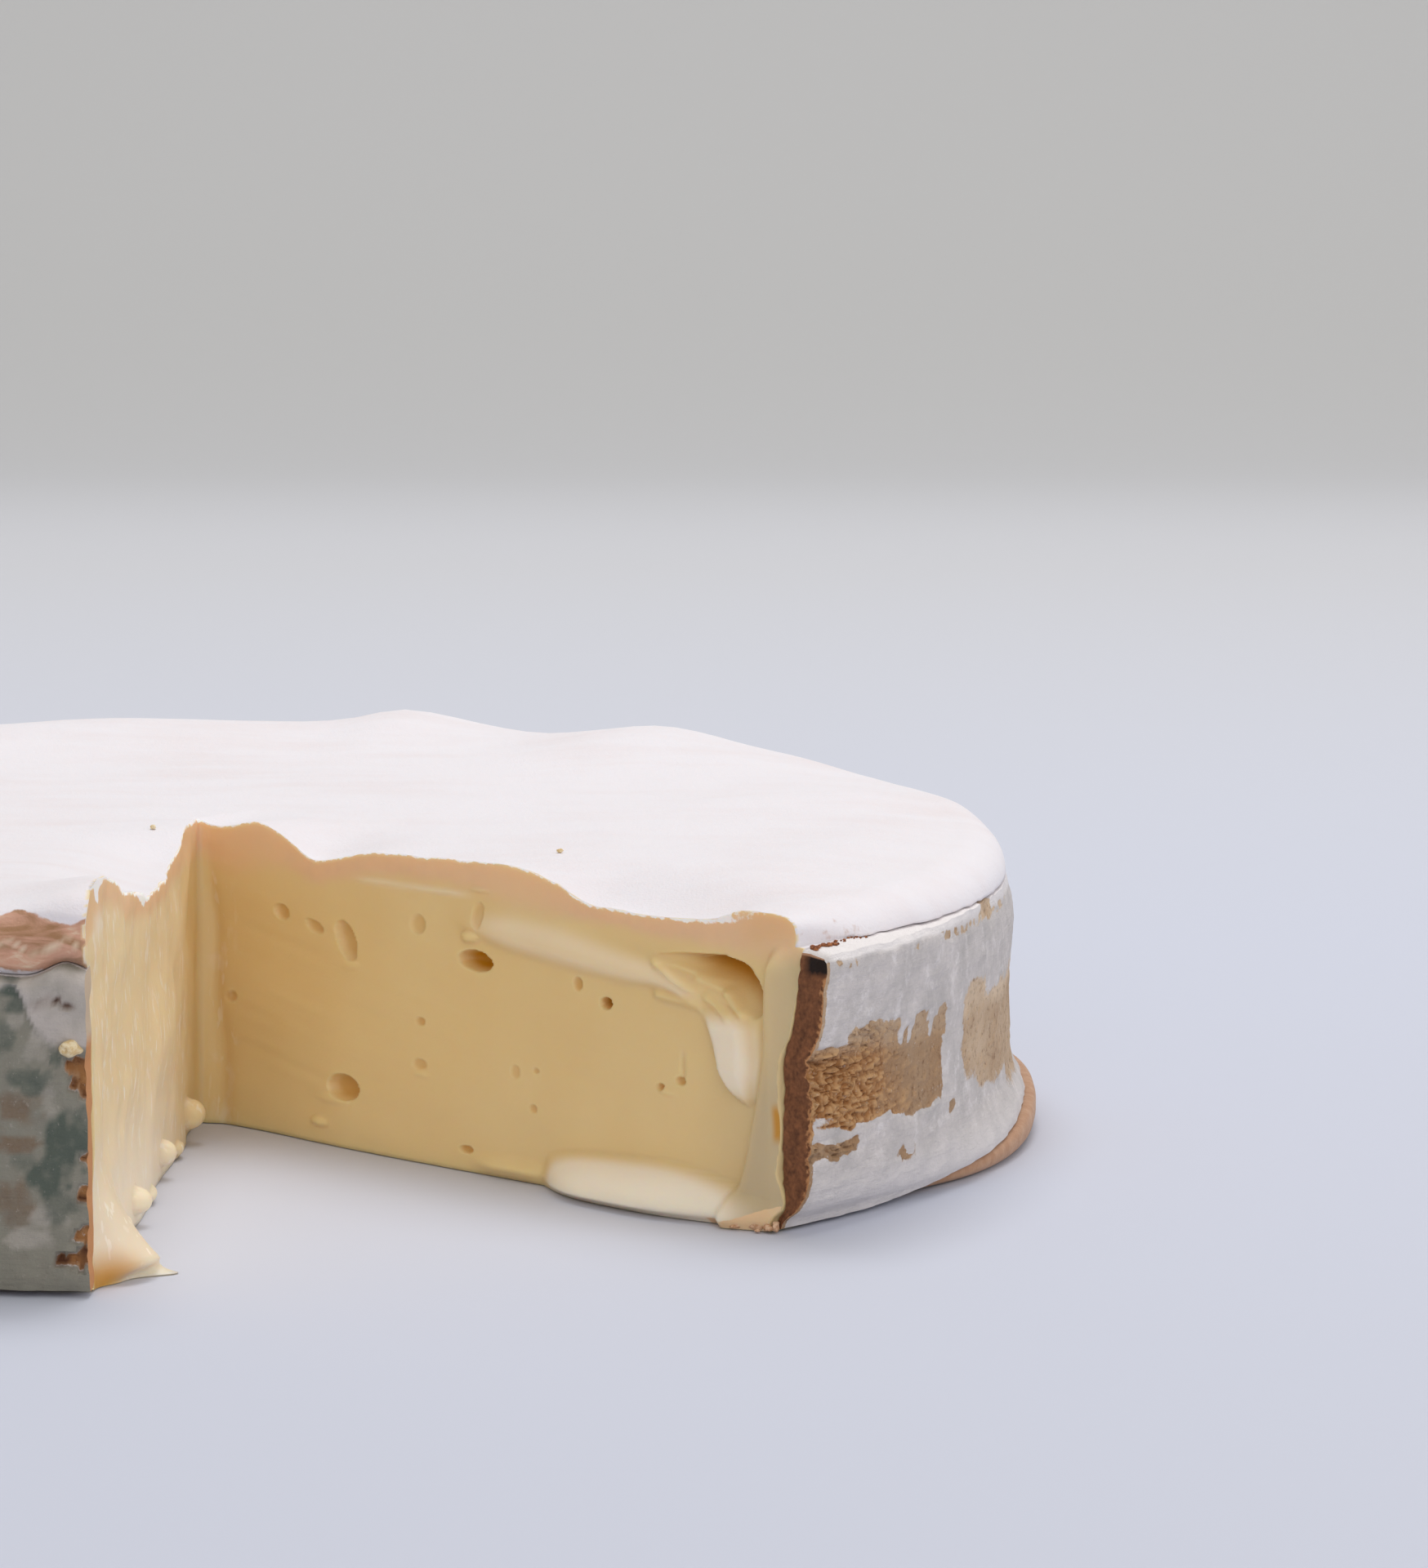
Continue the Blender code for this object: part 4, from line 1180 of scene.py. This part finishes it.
def strap_point(angle, h, w):
    """A point of the strap: h runs up it and w through its thickness, from the inside out."""
    foot, brim = through(BARK_FOOT, angle), seam_height(angle)
    z = foot + (brim - foot) * h
    open_top = 1.0 - 0.75 * smooth(2.6, 4.2, through(SHOULDER_REACH, angle)) * (angle < 60.0)
    round_off = w * (open_top * bell(brim, z, 1.3) + 0.55 * bell(z, foot, 0.9))
    from_right = arc_length(np.abs(angle - CUT_RIGHT))
    worn = 0.5 * open_top * w * w + 0.5 * np.exp(-((from_right / 0.9) ** 2))
    lowered = z - worn * smooth(brim - 1.6, brim, z)
    radius = bark_inside(angle, z) * (1.0 - w) + bark_outside(angle, z) * w
    radius = radius + w * bark_skin(angle, z) - round_off
    x, y = (heading(angle) * radius[:, None]).T
    for side, cut in (("right", CUT_RIGHT), ("left", CUT_LEFT)):
        from_end = np.radians(np.abs(angle - cut)) * radius
        shift = end_shift(side, z, w) * np.exp(-((from_end / 2.2) ** 2))
        way = into_gap(side)
        x, y = x + way[0] * shift, y + way[1] * shift
    return np.stack((x, y, lowered), -1), z


def strap_marks(angle, z, w):
    shown = smooth(0.5, 1.0, w)
    gone = chips(angle, z)
    arc, from_cut = arc_length(angle), arc_length(angle - CUT_RIGHT)
    end_bare = (1.0 - smooth(0.3, 1.1, from_cut)) * (z < 43.0)
    top = seam_height(angle)
    lip = np.maximum(smooth(top - 2.0, top - 1.1, z), 0.6 * smooth(12.0, 3.0, z)) * (angle < 200.0)
    lip = lip * smooth(0.3, 2.2, np.where(angle < 0.0, from_cut + 0.6 * grain(arc, z, 0.0, 1.2, 55), 9.0))
    turning = angle + 0.12 * (z - 22.0)
    turning = turning + 1.6 * grain(arc, z, 0.0, 3.0, 56) + 0.8 * grain(arc, z, 0.0, 1.2, 57)
    warm = smooth(-31.5, -39.5, turning) * (1.0 - smooth(26.0, 31.0, z)) * smooth(13.5, 16.5, z)
    # The crumbs' relief, for painted highlights on their tops and painted shade in the cracks between them;
    # fullest on the crumbly patch.
    crumb = 0.32 + (crumble(arc, z) - 0.32) * (0.25 + 0.75 * warm)
    pale_ledge = ledge_left(angle, z) * (0.72 + 0.28 * grain(arc, z, 0.0, 1.8, 58))
    darkened = gone * np.clip(0.45 + 0.8 * grain(arc, z, 0.0, 1.8, 31), 0.0, 1.0)
    return {
        "bare": np.maximum(bare_bark(angle, z), np.maximum(gone, 0.75 * end_bare)) * shown,
        "mould": mouldy(angle, z) * shown * (1.0 - gone), "height": z, "across": w,
        "rust": np.maximum(warm, gone), "lip": lip, "ledge": pale_ledge * shown,
        "shade": np.maximum(0.9 * crack_left(angle, z), darkened),
        "dark": blots(angle, z, DARK_BLOTS, 9.0, 40), "brown": blots(angle, z, BROWN_BLOTS, 8.0, 43),
        "pale": blots(angle, z, PALE_BLOTS, 6.0, 46), "arc": arc,
        "left": np.full(np.shape(z), 0.0) + (angle > 200.0), "crumb": crumb,
        "tan": smooth(-25.0, -21.0, angle) + 0.7 * smooth(25.0, 29.0, z),
    }


def loop_place(u, v):
    angle = station(u)
    step = v * LOOP_ROWS
    up = np.clip(step / HIGH_ROWS, 0.0, 1.0) - np.clip((step - HIGH_ROWS - WIDE_ROWS) / HIGH_ROWS, 0.0, 1.0)
    w = 1.0 - np.clip((step - HIGH_ROWS) / WIDE_ROWS, 0.0, 1.0)
    w = w + np.clip((step - 2 * HIGH_ROWS - WIDE_ROWS) / WIDE_ROWS, 0.0, 1.0)
    points, z = strap_point(angle, up, w)
    return points, strap_marks(angle, z, w)


def end_place(cut):
    def place(u, v):
        angle = np.full(u.shape, cut)
        points, z = strap_point(angle, v, u)
        return points, strap_marks(angle, z, u)

    return place


print("bark is bare at the right cut, z 25: %.2f" % bare_bark(np.array(-40.0), np.array(25.0)))

# %% [markdown]
# ## Bark, bloom and mould
#
# Dry inner bark is a brown fibre, rusty where it crumbles, with painted shade in the cracks between the
# crumbs and painted highlights on their tops. The bloom on it is greyer than on the cheese and lies in
# brushed strokes. The mould is a velvety blue-grey-green. All three are matt, so they share one material,
# and the marks say which of them shows. The sawn ends are a second material: dark red-brown, with a
# paler outer edge and fine saw lines across.

# %% Bark colours
BARK_BROWN = "#A27B55"
BARK_RUST = "#A87545"
# Painted shade in the cracks and crannies of bare bark, and painted highlights on the tops of its crumbs.
BARK_SHADE = "#6A4427"
BARK_HIGHLIGHT = "#D2A878"
BARK_GREY = "#B0967B"
BARK_TAN = "#DFC8AD"
BARK_BLOOM = "#DAD3D1"
BARK_BLOOM_GREY = "#BDB8B6"
BARK_LIP = "#EDE8E8"
BARK_LEDGE = "#C8BFB9"
BARK_CHIP = "#5E3822"
MOULD_GREY = "#8D8A7E"
MOULD_DARK = "#5A6259"
MOULD_BROWN = "#7F6C59"
MOULD_PALE = "#B0A9A0"

# %% Bark marks and patterns
bark, tree, shader, mm = start_material("spruce bark with bloom and mould", 0.9)
bare, mould, arc, height, rusty, ledge, shade, tan, crumbly, lip = (
    node(tree, "Attribute", out="Fac", attribute_name=mark)
    for mark in ("bare", "mould", "arc", "height", "rust", "ledge", "shade", "tan", "crumb", "lip")
)
strip = node(tree, "CombineXYZ", {"X": arc, "Y": height})
along = node(tree, "Mapping", {"Vector": strip, "Scale": (0.22, 1.5, 1.0)})
fibre = node(tree, "TexNoise", {"Vector": along, "Scale": 1.0, "Detail": 6.0, "Roughness": 0.65})
upright = node(tree, "Mapping", {"Vector": strip, "Scale": (0.15, 0.11, 1.0)})
stroke = node(tree, "TexNoise", {"Vector": upright, "Scale": 1.0, "Detail": 5.0})
lump, grit, cranny, patchy, fleck = (
    node(tree, "TexNoise", {"Vector": mm, "Scale": scale, "Detail": detail, "Roughness": rough})
    for scale, detail, rough in (
        (0.16, 5.0, 0.5), (1.1, 6.0, 0.7), (0.9, 5.0, 0.6), (0.3, 6.0, 0.7), (0.42, 5.0, 0.6),
    )
)
# Painted light on bare bark: crumb tops painted lighter as painted highlights, cracks between crumbs and
# crannies painted darker as painted shade.
lit_tops, shaded_cracks, dark, flour, tuft = (
    node(tree, "MapRange", {"Value": value, "From Min": start, "From Max": end, "To Max": most})
    for value, start, end, most in (
        (crumbly, 0.38, 0.85, 0.75), (crumbly, 0.26, 0.08, 0.7), (cranny, 0.46, 0.30, 0.6),
        (grit, 0.60, 0.70, 0.5), (patchy, 0.46, 0.34, 0.5),
    )
)
torn = node(tree, "Math", {0: grit, 1: 0.9, 2: -0.45}, operation="MULTIPLY_ADD")
print("bark patterns need", len(tree.nodes), "nodes")

# %% Bare bark and its bloom
tan = node(tree, "Math", {0: tan, 1: lump}, operation="MULTIPLY", use_clamp=True)
wood = node(tree, "Mix", {0: lump, 6: linear(BARK_BROWN), 7: linear(BARK_GREY)}, **COLOUR)
for share, colour in (
    (tan, BARK_TAN), (rusty, BARK_RUST), (lit_tops, BARK_HIGHLIGHT), (shaded_cracks, BARK_SHADE), (dark, BARK_SHADE),
    (flour, BARK_BLOOM),
):
    wood = node(tree, "Mix", {0: share, 6: wood, 7: linear(colour)}, **COLOUR)
dust = node(tree, "Math", {0: grit, 1: 0.4, 2: stroke}, operation="MULTIPLY_ADD")
dust = node(tree, "Math", {0: patchy, 1: 0.9, 2: dust}, operation="MULTIPLY_ADD")
dust = node(tree, "MapRange", {"Value": dust, "From Min": 0.92, "From Max": 1.5})
lip = node(tree, "Math", {0: lip, 1: tuft}, operation="MAXIMUM")
felt = linear(BARK_BLOOM)
for share, colour in ((dust, BARK_BLOOM_GREY), (lip, BARK_LIP)):
    felt = node(tree, "Mix", {0: share, 6: felt, 7: linear(colour)}, **COLOUR)
shown = node(tree, "Math", {0: bare, 1: torn}, operation="ADD")
shown = node(tree, "MapRange", {"Value": shown, "From Min": 0.36, "From Max": 0.58}, **SOFT)

# %% Mould on the left, and all layers of the bark
shift = node(tree, "Math", {0: fleck, 1: 1.3, 2: -0.65}, operation="MULTIPLY_ADD")
blue = linear(MOULD_GREY)
for mark, colour in (("brown", MOULD_BROWN), ("pale", MOULD_PALE), ("dark", MOULD_DARK)):
    share = node(tree, "Attribute", out="Fac", attribute_name=mark)
    share = node(tree, "Math", {0: share, 1: shift}, operation="ADD", use_clamp=True)
    blue = node(tree, "Mix", {0: share, 6: blue, 7: linear(colour)}, **COLOUR)
blue = node(tree, "Mix", {0: flour, 6: blue, 7: linear(MOULD_PALE)}, **COLOUR)
spread = node(tree, "Math", {0: mould, 1: torn}, operation="ADD")
spread = node(tree, "MapRange", {"Value": spread, "From Min": 0.3, "From Max": 0.7}, **SOFT)
skin = felt
for share, colour in ((shown, wood), (spread, blue), (ledge, linear(BARK_LEDGE)), (shade, linear(BARK_CHIP))):
    skin = node(tree, "Mix", {0: share, 6: skin, 7: colour}, **COLOUR)
rough = node(tree, "Math", {0: fibre, 1: grit}, operation="ADD")
rough = node(tree, "Math", {0: cranny, 1: rough}, operation="ADD")
bump = node(tree, "Bump", {"Height": rough, "Strength": 0.7, "Distance": 0.4 * MM})
dress(tree, shader, {"Base Color": skin, "Normal": bump})
print("bark material has", len(tree.nodes), "nodes")

# %% Sawn ends of the bark
SAWN = "#8C5A3A"
SAWN_DARK = "#5C3823"
SAWN_EDGE = "#C08A5C"
SAWN_NEAR_BLACK = "#1C0D07"
SAWN_LEFT = "#C68C5E"
SAWN_LIP = "#B98D70"
SAWN_PALE = "#C9B49C"

sawn, tree, shader, mm = start_material("sawn spruce bark", 0.9)
height, across_end, left_end = (
    node(tree, "Attribute", out="Fac", attribute_name=mark) for mark in ("height", "across", "left")
)
board = node(tree, "CombineXYZ", {"X": across_end, "Y": height})
lines = node(tree, "Mapping", {"Vector": board, "Scale": (3.5, 0.5, 1.0)})
layers = node(tree, "TexNoise", {"Vector": lines, "Scale": 1.0, "Detail": 5.0})
grit = node(tree, "TexNoise", {"Vector": mm, "Scale": 1.4, "Detail": 5.0})
tone = node(tree, "Math", {0: layers, 1: grit}, operation="ADD")
ragged = node(tree, "Math", {0: grit, 1: 0.5, 2: across_end}, operation="MULTIPLY_ADD")
level = node(tree, "Math", {0: grit, 1: 1.6, 2: height}, operation="MULTIPLY_ADD")
tone, pale, near_black, in_from, top_lip, left_lip = (
    node(tree, "MapRange", {"Value": value, "From Min": start, "From Max": end})
    for value, start, end in (
        (tone, 0.72, 1.28), (ragged, 1.14, 1.24), (level, 42.0, 43.0),
        (across_end, 0.05, 0.4), (height, 44.6, 45.0), (level, 38.5, 40.5),
    )
)
# A near-black band across the top of the right end, away from its inner edge.
near_black = node(tree, "Math", {0: near_black, 1: in_from}, operation="MULTIPLY")
near_black = node(tree, "Mix", {0: left_end, 2: near_black, 3: 0.0})
lip = node(tree, "Mix", {0: left_end, 2: top_lip, 3: left_lip})
lip_colour = node(tree, "Mix", {0: left_end, 6: linear(SAWN_LIP), 7: linear(SAWN_PALE)}, **COLOUR)
wood = linear(SAWN_DARK)
for share, colour in (
    (tone, linear(SAWN)), (left_end, linear(SAWN_LEFT)), (pale, linear(SAWN_EDGE)),
    (near_black, linear(SAWN_NEAR_BLACK)), (lip, lip_colour),
):
    wood = node(tree, "Mix", {0: share, 6: wood, 7: colour}, **COLOUR)
bump = node(tree, "Bump", {"Height": grit, "Strength": 0.6, "Distance": 0.3 * MM})
dress(tree, shader, {"Base Color": wood, "Normal": bump})
print("bark materials:", bark.name, "and", sawn.name)

# %% Lay the strap and close its ends
STRAP_COLUMNS = 420

# The crumbly patch lies between these heights, on a strap that is about this high
CRUMBLY_FROM, CRUMBLY_TO, STRAP_HEIGHT = 14.0, 33.0, 45.0


def near_right_end(u, v):
    return (station(u) < -25.5) & (u > 0.002) & (v < HIGH_ROWS / LOOP_ROWS - 0.005) & (v > 0.01)


def on_crumbly_patch(u, v):
    low, high = (z / STRAP_HEIGHT * HIGH_ROWS / LOOP_ROWS for z in (CRUMBLY_FROM, CRUMBLY_TO))
    return (station(u) < -33.0) & (u > 0.002) & (v > low) & (v < high)


loop = flat_panel("loop", STRAP_COLUMNS, LOOP_ROWS)
refine(loop, near_right_end)
refine(loop, on_crumbly_patch)
lay(loop, loop_place)
right_end = flat_panel("right_end", WIDE_ROWS, HIGH_ROWS)
lay(right_end, end_place(CUT_RIGHT))
left_end = flat_panel("left_end", WIDE_ROWS, HIGH_ROWS)
lay(left_end, end_place(CUT_LEFT))
for panel, material in ((loop, bark), (right_end, sawn), (left_end, sawn)):
    panel.data.materials.append(material)
only(loop, right_end, left_end)
bpy.ops.object.join()
strap = bpy.context.active_object
strap.name = "bark_strap"
bpy.ops.object.mode_set(mode="EDIT")
bpy.ops.mesh.select_mode(type="VERT")
bpy.ops.mesh.select_all(action="SELECT")
bpy.ops.mesh.remove_doubles(threshold=0.002 * MM)
bpy.ops.mesh.normals_make_consistent(inside=False)
bpy.ops.object.mode_set(mode="OBJECT")
bpy.ops.object.shade_smooth_by_angle(angle=math.radians(50.0))
print("strap:", triangles(strap), "triangles,", open_edges(strap), "open edges")
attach(strap, "root")
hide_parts("bark_band")

# %% [markdown]
# ## Crumbs and flakes
#
# A cut wheel sheds a little. Red-brown crumbs of bark lie in the seam beside the cut, flakes of damp rind
# have gathered at the strap's foot, a crumb of paste sticks to the left end and two more lie on top. Each
# is a small round solid that is squashed and dented by noise, so that no two are alike, and each lies on
# what carries it.

# %% Tools for crumbs
def plain_material(name, light, dark, roughness):
    """A matt material whose two colours mix in small blotches."""
    material, tree, shader, mm = start_material(name, roughness)
    blotch = node(tree, "TexNoise", {"Vector": mm, "Scale": 1.6, "Detail": 4.0})
    share = node(tree, "MapRange", {"Value": blotch, "From Min": 0.4, "From Max": 0.6})
    skin = node(tree, "Mix", {0: share, 6: linear(dark), 7: linear(light)}, **COLOUR)
    dress(tree, shader, {"Base Color": skin})
    return material


def crumb(place, half, seed):
    """One dented crumb, with its lowest point at the height of its place."""
    bpy.ops.object.select_all(action="DESELECT")
    bpy.ops.mesh.primitive_ico_sphere_add(subdivisions=3, radius=1.0, location=(0.0, 0.0, 0.0))
    piece = bpy.context.active_object
    flat = np.empty(len(piece.data.vertices) * 3)
    piece.data.vertices.foreach_get("co", flat)
    ball = flat.reshape(-1, 3)
    dent = 1.0 + 0.34 * grain(*(ball.T + 7.0 * seed), 0.9, 50) + 0.16 * grain(*(ball.T + 3.0 * seed), 0.4, 51)
    shape = ball * dent[:, None] * np.array(half)
    shape[:, 2] -= shape[:, 2].min()
    turn = 2.4 * seed
    x = shape[:, 0] * math.cos(turn) - shape[:, 1] * math.sin(turn)
    y = shape[:, 0] * math.sin(turn) + shape[:, 1] * math.cos(turn)
    placed = np.stack((x + place[0], y + place[1], shape[:, 2] + place[2]), -1)
    piece.data.vertices.foreach_set("co", (placed * MM).ravel())
    piece.data.update()
    return piece


def gather(name, crumbs, material):
    """Make crumbs one piece that rides with the wheel."""
    only(*crumbs)
    if len(crumbs) > 1:
        bpy.ops.object.join()
    piece = bpy.context.active_object
    piece.name = name
    bpy.ops.object.shade_smooth()
    piece.data.materials.append(material)
    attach(piece, "root")
    print(name, triangles(piece), "triangles")
    return piece


dry_bark = plain_material("crumbs of dry bark", "#A5683F", "#6E3D26", 0.9)
damp_rind = plain_material("flakes of damp rind", "#E2BE9E", "#BC8E6A", 0.7)
dry_paste = plain_material("crumbs of paste", "#EEDDB8", "#D9BC88", 0.6)

# %% Crumbs in the seam, flakes at the foot, crumbs on top
in_seam = []
draw = np.random.default_rng(4)
for i in range(56):
    share = draw.random()
    turn = CUT_RIGHT + 0.25 + 6.6 * share ** 1.7
    way = heading(turn)
    radius = float(bark_inside(turn, 45.0)) + draw.uniform(-0.1, 1.5)
    size = draw.uniform(0.16, 0.40) * (1.15 - 0.7 * share)
    from_end = float(arc_length(turn - CUT_RIGHT))
    level = float(seam_height(np.array(turn))) - 0.5 * math.exp(-((from_end / 0.9) ** 2)) - 0.06
    half = (1.4 * size, 0.8 * size, 0.7 * size)
    in_seam.append(crumb((way[0] * radius, way[1] * radius, level), half, i + 1))
gather("seam_crumbs", in_seam, dry_bark)

at_foot = []
right_way, right_gap = heading(CUT_RIGHT), into_gap("right")
for i, (s, out, long, tall) in enumerate((
    (125.4, 3.3, 2.0, 0.5), (128.2, 3.5, 1.5, 0.4), (130.4, 3.2, 2.2, 0.5), (132.6, 2.9, 1.3, 0.7),
    (134.6, 2.6, 1.5, 0.6), (136.0, 2.2, 1.0, 0.8), (127.4, 4.2, 0.6, 0.3), (133.6, 3.9, 0.5, 0.3),
)):
    place = (right_way[0] * s + right_gap[0] * out, right_way[1] * s + right_gap[1] * out, 0.01)
    at_foot.append(crumb(place, (long, 0.55, tall), i + 40))
gather("foot_flakes", at_foot, damp_rind)

on_top = []
for i, (x, y, size) in enumerate(((63.5, -40.9, 0.6), (-5.7, -16.8, 0.7))):
    level = float(top_height(np.array(x), np.array(y))) + 0.02
    on_top.append(crumb((x, y, level), (size, 0.6 * size, 0.55 * size), 60 + i))
gather("top_crumbs", on_top, dry_paste)

stuck_angle, stuck_level = 267.4, 36.3
stuck_way = heading(stuck_angle)
stuck_radius = float(bark_outside(stuck_angle, stuck_level)) + 0.7
stuck = crumb((stuck_way[0] * stuck_radius, stuck_way[1] * stuck_radius, stuck_level), (1.9, 1.3, 1.4), 71)
gather("stuck_crumb", [stuck], dry_paste)

# %% [markdown]
# ## The floor, the backdrop and the light
#
# The wheel stands on a pale blue-grey sheet that rises softly into a grey background. One grid is bent
# up at its far end, so there is no line between the two. The light is soft and comes from above and a
# little from the right, as from a large window.

# %% Floor and backdrop
FLOOR = "#CBCFDD"
FLOOR_FAR = "#CBCCD1"
BACKDROP = "#B9B9B9"

bpy.ops.object.select_all(action="DESELECT")
bpy.ops.mesh.primitive_grid_add(x_subdivisions=4, y_subdivisions=160, size=1.0, location=(0.0, 0.0, 0.0))
floor = bpy.context.active_object
floor.name = "floor_sheet"
flat = np.empty(len(floor.data.vertices) * 3)
floor.data.vertices.foreach_get("co", flat)
flat = flat.reshape(-1, 3)
BEND_START, BEND_LENGTH = 1.4, 1.0
run = (flat[:, 1] + 0.5) * 8.0 - 3.0
bend = np.clip((run - BEND_START) / BEND_LENGTH, 0.0, 1.0) * 0.5 * np.pi
bend_radius = BEND_LENGTH / (0.5 * np.pi)
rise = bend_radius * (1.0 - np.cos(bend)) + np.maximum(run - BEND_START - BEND_LENGTH, 0.0)
reach_y = np.minimum(run, BEND_START) + bend_radius * np.sin(bend)
floor.data.vertices.foreach_set("co", np.stack((flat[:, 0] * 9.0, reach_y, rise - 0.0002), -1).ravel())
bpy.ops.object.shade_smooth()
sheet, tree, shader, mm = start_material("matt studio paper", 0.85)
back = node(tree, "SeparateXYZ", {0: mm}, out="Y")
middle = node(tree, "MapRange", {"Value": back, "From Min": 200.0, "From Max": 1000.0})
far = node(tree, "MapRange", {"Value": back, "From Min": 1050.0, "From Max": 1700.0}, **SOFT)
paper = linear(FLOOR)
for share, colour in ((middle, FLOOR_FAR), (far, BACKDROP)):
    paper = node(tree, "Mix", {0: share, 6: paper, 7: linear(colour)}, **COLOUR)
dress(tree, shader, {"Base Color": paper}, {"Specular IOR Level": 0.2})
floor.data.materials.append(sheet)
print("floor sheet is 9 m wide and starts to rise %.1f m behind the wheel" % BEND_START)

# %% Lights
def soft_light(name, size, power, place, target, colour):
    data = bpy.data.lights.new(name, "AREA")
    data.shape = "DISK"
    data.size = size
    data.energy = power
    data.color = linear(colour)[:3]
    lamp = bpy.data.objects.new(name, data)
    lamp.location = place
    way = np.array(target) - np.array(place)
    tilt = math.atan2(math.hypot(way[0], way[1]), -way[2])
    turn = math.atan2(way[0], -way[1]) + math.pi
    lamp.rotation_euler = (tilt, 0.0, turn)
    bpy.context.scene.collection.objects.link(lamp)
    return lamp


soft_light("overhead", 1.6, 16.0, (0.3, 0.5, 1.9), (0.0, 0.0, 0.0), "#FFFDFB")
soft_light("window", 1.2, 7.0, (1.8, -0.5, 1.0), (0.0, 0.0, 0.0), "#FFFDFB")
soft_light("room", 2.0, 17.0, (0.35, -2.5, 1.1), (0.0, 0.0, 0.0), "#FFFAF4")
soft_light("on_backdrop", 1.4, 17.0, (0.0, 0.9, 2.4), (0.0, 2.0, 0.7), "#FFFFFF")
world = bpy.data.worlds.new("studio")
bpy.context.scene.world = world
world.use_nodes = True
fill = world.node_tree.nodes["Background"]
fill.inputs["Color"].default_value = linear("#F7F6F5")
fill.inputs["Strength"].default_value = 0.47
bpy.context.scene.view_settings.view_transform = "Standard"
bpy.context.scene.view_settings.look = "None"
